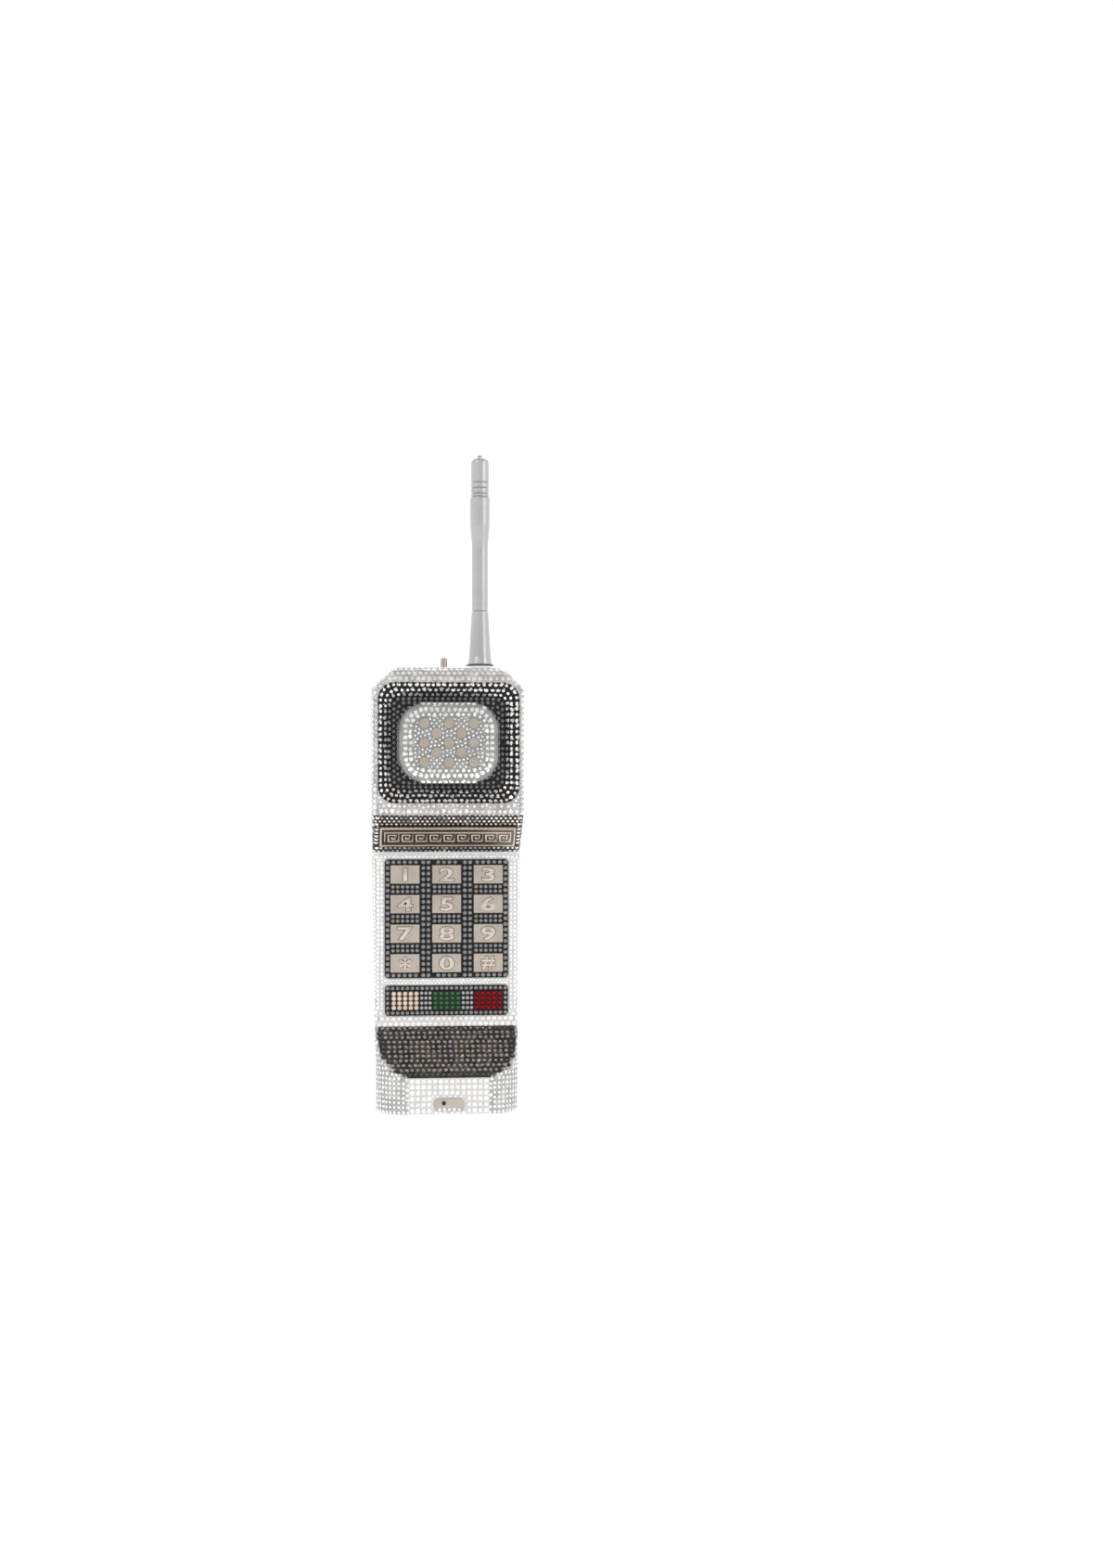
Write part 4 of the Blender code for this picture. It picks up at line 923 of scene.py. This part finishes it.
def lay_pad(bed, sizes, pad):
    """Clear crystals round the pad's side, darkened with painted shade, clear rings inside its edge, small
    ones between the discs.
    """
    large, gap = sizes.large, sizes.spacing
    centre, half = middle_of("earpiece_pad")
    low, high = centre - half, centre + half
    corner = 15 * MM
    fan = []
    for x, z in ring_points(half.x, half.z, corner):
        aim = Vector((-x / half.x, 0, -z / half.z)).normalized()
        fan.append((Vector((x, centre.y + 0.7 * MM, centre.z + z)) - aim * 20 * MM, aim))
    lay_lines(bed, "pad_side_crystals", runs(pad, fan, jump=4 * MM), large, gap, 0.9, closed=True)
    for inset in (0.9 * MM, 3.7 * MM, 6.6 * MM):
        rays = ring_rays(centre, half.x - inset, half.z - inset, corner - inset)
        lay_lines(bed, "pad_crystals", runs(pad, rays, jump=4 * MM), large, gap, 0.88, closed=True)
    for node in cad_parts:
        if node.startswith("earpiece_disc"):
            spot, disc = middle_of(node)
            bed.block(Vector((spot.x, low.y, spot.z)), -ALONG_Y, disc.x * 2)
    ring = 7 * MM
    for size, pitch in ((2.15 * MM, 0.45 * MM), (1.75 * MM, 0.4 * MM), (1.4 * MM, 0.35 * MM)):
        for z in np.arange(low.z + ring, high.z - ring, pitch):
            for x in np.arange(low.x + ring, high.x - ring, pitch):
                hit = struck(pad, (x, -FAR, z), ALONG_Y)
                if hit and hit[1].y < -0.9:
                    bed.lay("pad_crystals", *hit, size, 0.97)


def lay_panels(bed, sizes):
    """Grey beads in the black grounds round the plates, and the three blocks of coloured stones."""
    lay_keypad_beads(bed, surface("keypad_panel"))
    keys = [middle_of(f"function_key_{colour}") for colour in BLOCK_COLOURS]
    lay_function_beads(bed, surface("function_panel"), [centre.x for centre, _ in keys])
    across, up = 5, 4
    for colour, (centre, half) in zip(BLOCK_COLOURS, keys):
        block = surface(f"function_key_{colour}")
        for i in range(across):
            for j in range(up):
                x = centre.x + (i - (across - 1) / 2) * keys[0][1].x * 2 / across
                z = centre.z + (j - (up - 1) / 2) * keys[0][1].z * 2 / up
                hit = struck(block, (x, -FAR, z), ALONG_Y)
                if hit:
                    bed.lay(f"{colour}_block", *hit, 2.72 * MM, 0.8)


def even_marks(low, high, step):
    """Marks from low to high, as near to the step apart as they divide."""
    count = int(round((high - low) / step))
    return [low + (high - low) * i / count for i in range(count + 1)]


def lay_keypad_beads(bed, keypad):
    """A bead frame, two columns between every two plates across, two rows between every two upwards."""
    low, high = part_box("keypad_panel")
    size, step, rim = 2.6 * MM, 3.09 * MM, 1.6 * MM
    plates = [middle_of(node)[0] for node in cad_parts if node.startswith("key_")]
    columns, rows = (sorted({round(value, 4) for value in line})
                     for line in ([spot.x for spot in plates], [spot.z for spot in plates]))
    xs = [low.x + rim, high.x - rim]
    for a, b in zip(columns, columns[1:]):
        xs += [(a + b) / 2 - 1.47 * MM, (a + b) / 2 + 1.47 * MM]
    lay_columns(bed, "keypad_beads", keypad, xs, even_marks(low.z + rim, high.z - rim, step), size)
    for z in (low.z + rim, high.z - rim):
        lay_columns(bed, "keypad_beads", keypad, even_marks(low.x + rim, high.x - rim, step), (z,), size)
    for a, b in zip(rows, rows[1:]):
        for z in ((a + b) / 2 - 1.3 * MM, (a + b) / 2 + 1.3 * MM):
            for x in columns:
                spots = [x + (i - 2.5) * 2.68 * MM for i in range(6)]
                lay_columns(bed, "keypad_beads", keypad, spots, (z,), 2.35 * MM)


def lay_function_beads(bed, panel, middles):
    """A bead frame round the strip, and three columns of lighter beads between every two blocks."""
    low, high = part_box("function_panel")
    size, rim_x, rim_z = 2.35 * MM, 1.5 * MM, 1.55 * MM
    for z in (low.z + rim_z, high.z - rim_z):
        spots = even_marks(low.x + rim_x, high.x - rim_x, 2.75 * MM)
        lay_columns(bed, "keypad_beads", panel, spots, (z,), size)
    inner = [low.z + rim_z + (high.z - low.z - 2 * rim_z) * i / 5 for i in range(1, 5)]
    lay_columns(bed, "keypad_beads", panel, (low.x + rim_x, high.x - rim_x), inner, size)
    for a, b in zip(middles, middles[1:]):
        spots = [(a + b) / 2 + shift for shift in (-size, 0.0, size)]
        lay_columns(bed, "function_beads", panel, spots, inner, 2.15 * MM)


def front_group(place, normal):
    """Which group a small stone on the lid's front belongs to."""
    if place.z > HEAD_BOTTOM:
        return "head_face_crystals"
    if place.z > BAND_BOTTOM:
        return "band_face_crystals"
    if place.z > SCOOP_TOP:
        return "grip_face_pearls"
    if normal.z > 0.12 and place.z > SLOPE_FOOT:
        return "mouth_border_crystals" if abs(place.x) > 25 * MM else "mouth_crystals"
    return "chin_pearls" if abs(place.x) < 22 * MM else "chin_front_crystals"


def in_dish(place, centre, half):
    """Whether a spot lies within the dish's rounded outline or a stone's width of it."""
    corner = 8 * MM
    out_x = max(abs(place.x) - (half.x - corner), 0)
    out_z = max(abs(place.z - centre.z) - (half.z - corner), 0)
    return out_x ** 2 + out_z ** 2 < (corner + 0.9 * MM) ** 2


def front_and_back_spots(front, back):
    plates = [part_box(node) for node in ("nameplate", "keypad_panel", "function_panel", "chin_plate")]
    dish = middle_of("earpiece_dish")
    for z in np.arange(1.3 * MM, BODY_TOP + 1 * MM, 0.62 * MM):
        for x in np.arange(-ACROSS, ACROSS, 0.62 * MM):
            hit = struck(front, (x, -FAR, z), ALONG_Y)
            if hit and hit[0].y < SEAM - 2 * MM and hit[1].y < -0.15 and not in_dish(hit[0], *dish):
                if not any(in_box(hit[0], low, high, 0.75 * MM) for low, high in plates):
                    yield front_group(*hit), *hit
            hit = struck(back, (x, FAR, z), -ALONG_Y)
            if hit and hit[1].y > 0.15:
                yield side_zone(hit[0].z, "back"), *hit


def side_and_top_spots(tree, side, low, high):
    for y in np.arange(low, high, 0.62 * MM):
        for z in np.arange(1.3 * MM, BODY_TOP, 0.8 * MM):
            for sign in (-1, 1):
                hit = struck(tree, (sign * FAR, y, z), (-sign, 0, 0))
                if hit and abs(hit[1].x) > 0.35:
                    yield side_zone(hit[0].z, side), *hit
        for x in np.arange(-ACROSS, ACROSS, 0.8 * MM):
            hit = struck(tree, (x, y, FAR * 2), -UP)
            if hit and hit[0].z > 230 * MM and hit[1].z > 0.35:
                yield side_zone(hit[0].z, side), *hit


def fill_gaps(bed, sizes):
    """Smaller stones wherever the rows leave a hole, the largest that fits each time."""
    front, back = surface("front_shell"), surface("back_shell")
    spots = list(front_and_back_spots(front, back))
    spots += side_and_top_spots(front, "side", -30 * MM, SEAM - 1.5 * MM)
    spots += side_and_top_spots(back, "rear", SEAM + 1.5 * MM, 32 * MM)
    np.random.default_rng(7).shuffle(spots)
    for size in (sizes.medium, sizes.tiny, 1.55 * MM):
        for group, place, normal in spots:
            bed.lay(group, place, normal, size, 0.97)


# name of the group: (body, cut, finish, slot)
GROUPS = {
    "head_face_crystals": ("lid", "faceted", "clear_crystal", "pave_clear"),
    "head_side_crystals": ("lid", "faceted", "clear_crystal", "pave_clear"),
    "band_face_crystals": ("lid", "faceted", "smoke_crystal", "pave_smoke"),
    "band_side_crystals": ("lid", "faceted", "smoke_crystal", "pave_smoke"),
    "bezel_crystals": ("lid", "faceted", "smoke_crystal", "pave_smoke"),
    "dish_beads": ("lid", "domed", "dish_bead", "pave_smoke"),
    "pad_crystals": ("lid", "faceted", "bright_crystal", "pave_earpiece"),
    # the pad's side crystals get painted shade
    "pad_side_crystals": ("lid", "faceted", "shade_crystal", "pave_earpiece"),
    "grip_face_pearls": ("lid", "domed", "pearl_bead", "pave_clear"),
    "grip_side_pearls": ("lid", "domed", "pearl_bead", "pave_clear"),
    "big_pearls": ("lid", "domed", "pearl_bead", "pave_clear"),
    "keypad_beads": ("lid", "domed", "hematite_bead", "black_enamel"),
    "function_beads": ("lid", "domed", "steel_bead", "black_enamel"),
    "ivory_block": ("lid", "domed", "ivory_bead", "stones_ivory"),
    "green_block": ("lid", "domed", "emerald_bead", "stones_green"),
    "red_block": ("lid", "domed", "ruby_bead", "stones_red"),
    "mouth_crystals": ("lid", "faceted", "black_diamond_crystal", "pave_smoke"),
    "mouth_border_crystals": ("lid", "faceted", "jet_crystal", "pave_smoke"),
    "chin_pearls": ("lid", "domed", "pearl_bead", "pave_clear"),
    "chin_front_crystals": ("lid", "faceted", "bright_crystal", "pave_clear"),
    "chin_side_crystals": ("lid", "faceted", "bright_crystal", "pave_clear"),
    "head_rear_crystals": ("back_case", "faceted", "clear_crystal", "pave_clear"),
    "band_rear_crystals": ("back_case", "faceted", "smoke_crystal", "pave_smoke"),
    "grip_rear_pearls": ("back_case", "domed", "pearl_bead", "pave_clear"),
    "chin_rear_crystals": ("back_case", "faceted", "bright_crystal", "pave_clear"),
    "head_back_crystals": ("back_case", "faceted", "clear_crystal", "pave_clear"),
    "band_back_crystals": ("back_case", "faceted", "smoke_crystal", "pave_smoke"),
    "grip_back_pearls": ("back_case", "domed", "pearl_bead", "pave_clear"),
    "chin_back_crystals": ("back_case", "faceted", "bright_crystal", "pave_clear"),
}

NODE_FINISHES = {
    "front_shell": "shell_bed",
    "back_shell": "shell_bed",
    "earpiece_dish": "jet_bed",
    "earpiece_pad": "silver_bed",
    "keypad_panel": "jet_bed",
    "function_panel": "jet_bed",
    "function_key_ivory": "smoke_bed",
    "function_key_green": "green_bed",
    "function_key_red": "red_bed",
    "nameplate": "mirror_field",
    "chin_plate": "number_plate",
    "antenna_boss": "cream_lacquer",
    "antenna_gasket": "gasket_rubber",
    "antenna_sleeve": "satin_lacquer",
    "antenna_mast": "satin_lacquer",
    "antenna_cap": "satin_lacquer",
    "antenna_tip": "number_plate",
    "front_lining": "kid_lining",
    "back_lining": "kid_lining",
    "clasp_post": "number_plate",
}


class CLUTCH_OT_base(bpy.types.Operator):
    """Give each metal, leather and enamel part its finish"""

    bl_idname = "clutch.base"
    bl_label = "Finish the Parts"

    def execute(self, context):
        finishes(context.scene.clutch_colours)
        for name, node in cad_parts.items():
            if name.startswith(("key_", "earpiece_disc")):
                finish = "number_plate"
            else:
                finish = NODE_FINISHES.get(name, "hinge_plate")
            node.data.materials.clear()
            node.data.materials.append(bpy.data.materials[finish])
        return {"FINISHED"}


class CLUTCH_OT_stones(bpy.types.Operator):
    """Set every crystal, bead and pearl"""

    bl_idname = "clutch.stones"
    bl_label = "Set the Stones"

    def execute(self, context):
        sizes = context.scene.clutch_stones
        bed = Bed()
        keep_clear(bed)
        lay_earpiece(bed, sizes)
        lay_panels(bed, sizes)
        lay_front(bed, sizes)
        pitch = sizes.large + sizes.spacing
        lay_sides(bed, sizes, "front_shell", "side", [SEAM - 1.75 * MM - i * pitch for i in range(12)])
        lay_sides(bed, sizes, "back_shell", "rear", [SEAM + 1.75 * MM + i * pitch for i in range(6)])
        lay_back(bed, sizes)
        fill_gaps(bed, sizes)
        cuts = {"faceted": Cut(faceted_stone()), "domed": Cut(domed_stone())}
        for group, (body, cut, finish, slot) in GROUPS.items():
            if not bed.groups.get(group):
                raise RuntimeError(f"no stones in {group}")
            finished(cuts[cut].set_at(group, bed.groups[group], sizes), body, finish, slot)
        return {"FINISHED"}


class CLUTCH_OT_digits(bpy.types.Operator):
    """Emboss the number plates"""

    bl_idname = "clutch.digits"
    bl_label = "Emboss the Number Plates"

    def execute(self, context):
        for node in sorted(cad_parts):
            if not node.startswith("key_"):
                continue
            key = node.removeprefix("key_")
            mark = {"star": "*", "hash": "#"}.get(key, key)
            middle, half = middle_of(node)
            face = Vector((middle.x, middle.y - half.y, middle.z))
            # a thin dark copy of each digit, swollen round it: painted shadow of the raised digit
            shadow_outline = self.sign(f"digit_groove_{key}", mark, face, 0.03 * MM, 0.0, 0.56 * MM)
            finished(shadow_outline, "lid", "oxidised_groove", "silver_plate")
            digit = self.sign(f"digit_{key}", mark, face, 0.2 * MM, 0.2 * MM, 0.08 * MM)
            finished(digit, "lid", "relief_plate", "silver_plate")
        return {"FINISHED"}

    @staticmethod
    def sign(name, mark, face, rise, edge, swell):
        """One generic digit or sign, wide as on a real keypad, centred on its plate."""
        nothing_selected()
        bpy.ops.object.text_add(location=face, rotation=(math.pi / 2, 0, 0))
        text = newest(name)
        text.data.body = mark
        text.data.size = {"*": 14.5}.get(mark, 10.2) * MM
        text.data.extrude, text.data.bevel_depth, text.data.offset = rise, edge, swell
        text.data.bevel_resolution = 2
        text.scale = ({"*": 1.05, "#": 1.2}.get(mark, 1.6), 1, 1)
        bpy.ops.object.convert(target="MESH")
        text = bpy.context.active_object
        corners = [text.matrix_world @ Vector(corner) for corner in text.bound_box]
        centre = sum(corners, Vector()) / 8
        text.location += Vector((face.x - centre.x, 0, face.z - centre.z))
        edit_whole()
        bpy.ops.mesh.remove_doubles(threshold=0.01 * MM)
        leave_edit_facing_out()
        bpy.ops.object.shade_smooth_by_angle(angle=math.radians(40))
        return text


MEANDER = (
    "########",
    "#.......",
    "#.#####.",
    "#.#...#.",
    "#.#.#.#.",
    "#.#.###.",
    "#.#.....",
    "#.######",
)


class CLUTCH_OT_nameplate(bpy.types.Operator):
    """Raise the rim and the key pattern of the plate under the earpiece"""

    bl_idname = "clutch.nameplate"
    bl_label = "Dress the Nameplate"

    def execute(self, context):
        middle, half = middle_of("nameplate")
        lean = math.atan2(HEAD_FRONT - GRIP_FRONT, NAME_SLOPE_HEIGHT)
        front = middle + Vector((0, -math.cos(lean), -math.sin(lean))) * 0.5 * MM
        self.rim(half.x * 2, front, lean)
        self.key_pattern(front, lean)
        return {"FINISHED"}

    def rim(self, wide, front, lean):
        nothing_selected()
        bpy.ops.mesh.primitive_plane_add(size=1)
        rim = newest("nameplate_rim")
        rim.scale = (wide - 0.3 * MM, PLATE_HEIGHT - 0.3 * MM, 1)
        bpy.ops.object.transform_apply(location=False, rotation=False, scale=True)
        edit_whole()
        bpy.ops.mesh.inset(thickness=1.1 * MM, use_even_offset=True)
        bpy.ops.mesh.delete(type="FACE")
        bpy.ops.mesh.select_all(action="SELECT")
        bpy.ops.mesh.extrude_region_move(TRANSFORM_OT_translate={"value": (0, 0, 0.75 * MM)})
        leave_edit_facing_out()
        self.bevelled(rim, 0.22 * MM)
        self.lay_on(rim, front, lean)
        finished(rim, "lid", "relief_plate", "silver_plate")

    def key_pattern(self, front, lean):
        unit, repeats, cell = len(MEANDER), 9, 0.96 * MM
        columns = unit * repeats + 1
        nothing_selected()
        bpy.ops.mesh.primitive_grid_add(x_subdivisions=columns, y_subdivisions=unit, size=1)
        key = newest("nameplate_key_pattern")
        key.scale = (cell * columns, cell * unit, 1)
        bpy.ops.object.transform_apply(location=False, rotation=False, scale=True)

        def empty(place, normal):
            column = int(place.x / cell + columns / 2)
            row = int(unit / 2 - place.y / cell)
            return MEANDER[row][column % unit] != "#"

        select_faces(key, empty)
        bpy.ops.mesh.delete(type="FACE")
        bpy.ops.mesh.select_all(action="SELECT")
        bpy.ops.mesh.extrude_region_move(TRANSFORM_OT_translate={"value": (0, 0, 0.6 * MM)})
        bpy.ops.mesh.select_all(action="SELECT")
        bpy.ops.mesh.dissolve_limited(angle_limit=math.radians(2))
        leave_edit_facing_out()
        self.bevelled(key, 0.14 * MM)
        self.lay_on(key, front, lean)
        finished(key, "lid", "relief_plate", "silver_plate")

    @staticmethod
    def bevelled(obj, width):
        bevel = obj.modifiers.new("edges", "BEVEL")
        bevel.width, bevel.segments, bevel.limit_method = width, 2, "ANGLE"
        bpy.ops.object.modifier_apply(modifier="edges")
        bpy.ops.object.shade_smooth_by_angle(angle=math.radians(35))

    @staticmethod
    def lay_on(obj, place, lean):
        obj.rotation_euler = (math.pi / 2 + lean, 0, 0)
        obj.location = place


class CLUTCH_OT_chin_plate(bpy.types.Operator):
    """Add the speaking hole, a dark disc of painted shadow, and its eyelet to the chin plate"""

    bl_idname = "clutch.chin_plate"
    bl_label = "Dress the Chin Plate"

    def execute(self, context):
        middle, half = middle_of("chin_plate")
        spot = (-3.0 * MM, middle.y - half.y, middle.z + 0.9 * MM)
        upright_turn = (math.pi / 2, 0, 0)
        nothing_selected()
        bpy.ops.mesh.primitive_torus_add(major_radius=1.45 * MM, minor_radius=0.28 * MM, major_segments=28,
                                         minor_segments=10, location=spot, rotation=upright_turn)
        eyelet = newest("speaking_hole_eyelet")
        bpy.ops.object.shade_smooth()
        finished(eyelet, "lid", "relief_plate", "silver_plate")
        nothing_selected()
        # the hole is a thin dark disc: painted shadow standing for the hole's depth
        bpy.ops.mesh.primitive_cylinder_add(vertices=28, radius=1.3 * MM, depth=0.16 * MM,
                                            location=spot, rotation=upright_turn)
        hole = newest("speaking_hole")
        edit_whole()
        bpy.ops.mesh.bevel(offset=0.05 * MM, segments=1)
        bpy.ops.object.mode_set(mode="OBJECT")
        finished(hole, "lid", "speaking_hole", "silver_plate")
        return {"FINISHED"}


class CLUTCH_OT_spring(bpy.types.Operator):
    """Wind the clasp's coil spring at its rest length; the real one shortens as the post is pressed"""

    bl_idname = "clutch.spring"
    bl_label = "Wind the Clasp Spring"

    def execute(self, context):
        low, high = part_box("clasp_spring")
        wire, turns, stroke = 0.3 * MM, 5, 2.5 * MM
        radius, length = (high.x - low.x) / 2 - wire, high.z - low.z
        nothing_selected()
        bpy.ops.mesh.primitive_circle_add(vertices=10, radius=wire, location=(radius, 0, 0),
                                          rotation=(math.pi / 2, 0, 0))
        spring = newest("coil_spring")
        bpy.ops.object.transform_apply(location=True, rotation=True, scale=True)
        spring.location = ((low.x + high.x) / 2, (low.y + high.y) / 2, low.z + wire)
        bpy.ops.object.modifier_add(type="SCREW")
        coil = spring.modifiers[0]
        coil.iterations, coil.steps, coil.render_steps = turns, 24, 24
        coil.screw_offset = (length - 2 * wire) / turns
        bpy.ops.object.modifier_apply(modifier=coil.name)
        edit_whole()
        bpy.ops.mesh.fill_holes(sides=0)
        leave_edit_facing_out()
        bpy.ops.object.shade_smooth_by_angle(angle=math.radians(50))
        finished(spring, "back_case", "hinge_plate", "hinge_steel")
        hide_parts("clasp_spring")
        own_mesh(spring)
        return {"FINISHED"}


class CLUTCH_OT_studio(bpy.types.Operator):
    """Set up the camera, the pale floor and the soft lights"""

    bl_idname = "clutch.studio"
    bl_label = "Set Up the Studio"

    def execute(self, context):
        studio = context.scene.clutch_studio
        ahead = Vector((math.sin(studio.turn), math.cos(studio.turn), 0))
        right = Vector((math.cos(studio.turn), -math.sin(studio.turn), 0))
        keypad = Vector((0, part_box("keypad_panel")[0].y, studio.height))
        nothing_selected()
        bpy.ops.object.camera_add(location=keypad + right * studio.aside - ahead * studio.distance,
                                  rotation=(math.pi / 2, 0, -studio.turn))
        camera = newest("studio_camera")
        camera.data.sensor_fit = "HORIZONTAL"
        camera.data.lens = camera.data.sensor_width * studio.distance / studio.view_width
        context.scene.camera = camera
        self.floor(context)
        self.light("key", (-0.9, -1.3, 1.5), 1.1, studio.key_power)
        self.light("fill", (1.3, -1.0, 0.8), 0.9, studio.key_power * 0.55)
        self.light("top", (0.7, 1.1, 1.5), 1.0, studio.key_power * 0.5)
        self.light("rear", (-0.4, 1.5, 1.1), 0.9, studio.key_power * 0.6)
        self.sky(context, studio.sky, studio.dusk)
        context.scene.view_settings.view_transform = "Standard"
        return {"FINISHED"}

    @staticmethod
    def sky(context, strength, dusk):
        """Even white light from behind, beside and below, dimmer from above the camera."""
        world = bpy.data.worlds.new("studio_sky")
        context.scene.world = world
        world.use_nodes = True
        nodes, links = world.node_tree.nodes, world.node_tree.links
        kinds = ("TexCoord", "VectorMath", "MapRange")
        way, likeness, ramp = (nodes.new(f"ShaderNode{kind}") for kind in kinds)
        likeness.operation = "DOT_PRODUCT"
        likeness.inputs[1].default_value = (0, -0.6, 0.8)
        ramp.interpolation_type = "SMOOTHSTEP"
        limits = {"From Min": 0.1, "From Max": 1.0, "To Min": strength, "To Max": strength * dusk}
        for socket, value in limits.items():
            ramp.inputs[socket].default_value = value
        links.new(way.outputs["Generated"], likeness.inputs[0])
        links.new(likeness.outputs["Value"], ramp.inputs["Value"])
        links.new(ramp.outputs["Result"], nodes["Background"].inputs["Strength"])
        nodes["Background"].inputs["Color"].default_value = (1, 1, 1, 1)

    @staticmethod
    def floor(context):
        nothing_selected()
        bpy.ops.mesh.primitive_plane_add(size=1)
        floor = newest("studio_floor")
        floor.scale = (80, 80, 1)
        floor.location.z = -context.scene.clutch_studio.drop
        bpy.ops.object.transform_apply(location=True, rotation=False, scale=True)
        paper = {"Roughness": 0.9, "Specular IOR Level": 0.1, "Emission Strength": 0.3}
        material = Finish("studio_paper", {**paper, "Emission Color": (1, 1, 1, 1)})
        grain = material.noise(300.0, 2.0)
        colour = tuple(context.scene.clutch_colours.floor)
        material.feed(Base_Color=material.mixed(grain, shaded(colour, 0.985), colour))
        floor.data.materials.append(material.material)

    @staticmethod
    def light(name, place, size, power):
        nothing_selected()
        bpy.ops.object.light_add(type="AREA", location=place)
        lamp = newest(f"{name}_light")
        lamp.data.shape, lamp.data.size, lamp.data.energy = "SQUARE", size, power
        lamp.rotation_euler = (Vector((0, 0, 0.15)) - Vector(place)).to_track_quat("-Z", "Y").to_euler()


class CLUTCH_PT_panel(bpy.types.Panel):
    """The clutch's tools and sizes"""

    bl_idname = "CLUTCH_PT_panel"
    bl_label = "Crystal Phone Clutch"
    bl_space_type = "VIEW_3D"
    bl_region_type = "UI"
    bl_category = "Clutch"

    def draw(self, context):
        for operator in OPERATORS:
            self.layout.operator(operator.bl_idname)
        for group in ("clutch_stones", "clutch_colours", "clutch_studio"):
            box = self.layout.box()
            for name in getattr(context.scene, group).__annotations__:
                box.prop(getattr(context.scene, group), name)


OPERATORS = (CLUTCH_OT_studio, CLUTCH_OT_base, CLUTCH_OT_stones, CLUTCH_OT_digits, CLUTCH_OT_nameplate,
             CLUTCH_OT_chin_plate, CLUTCH_OT_spring)
CLASSES = (ClutchStones, ClutchColours, ClutchStudio, *OPERATORS, CLUTCH_PT_panel)


def register():
    for item in CLASSES:
        bpy.utils.register_class(item)
    bpy.types.Scene.clutch_stones = PointerProperty(type=ClutchStones)
    bpy.types.Scene.clutch_colours = PointerProperty(type=ClutchColours)
    bpy.types.Scene.clutch_studio = PointerProperty(type=ClutchStudio)


def unregister():
    del bpy.types.Scene.clutch_stones, bpy.types.Scene.clutch_colours, bpy.types.Scene.clutch_studio
    for item in reversed(CLASSES):
        bpy.utils.unregister_class(item)


def main():
    register()
    bpy.ops.clutch.studio()
    bpy.ops.clutch.base()
    bpy.ops.clutch.stones()
    bpy.ops.clutch.digits()
    bpy.ops.clutch.nameplate()
    bpy.ops.clutch.chin_plate()
    bpy.ops.clutch.spring()


if __name__ == "__main__":
    main()
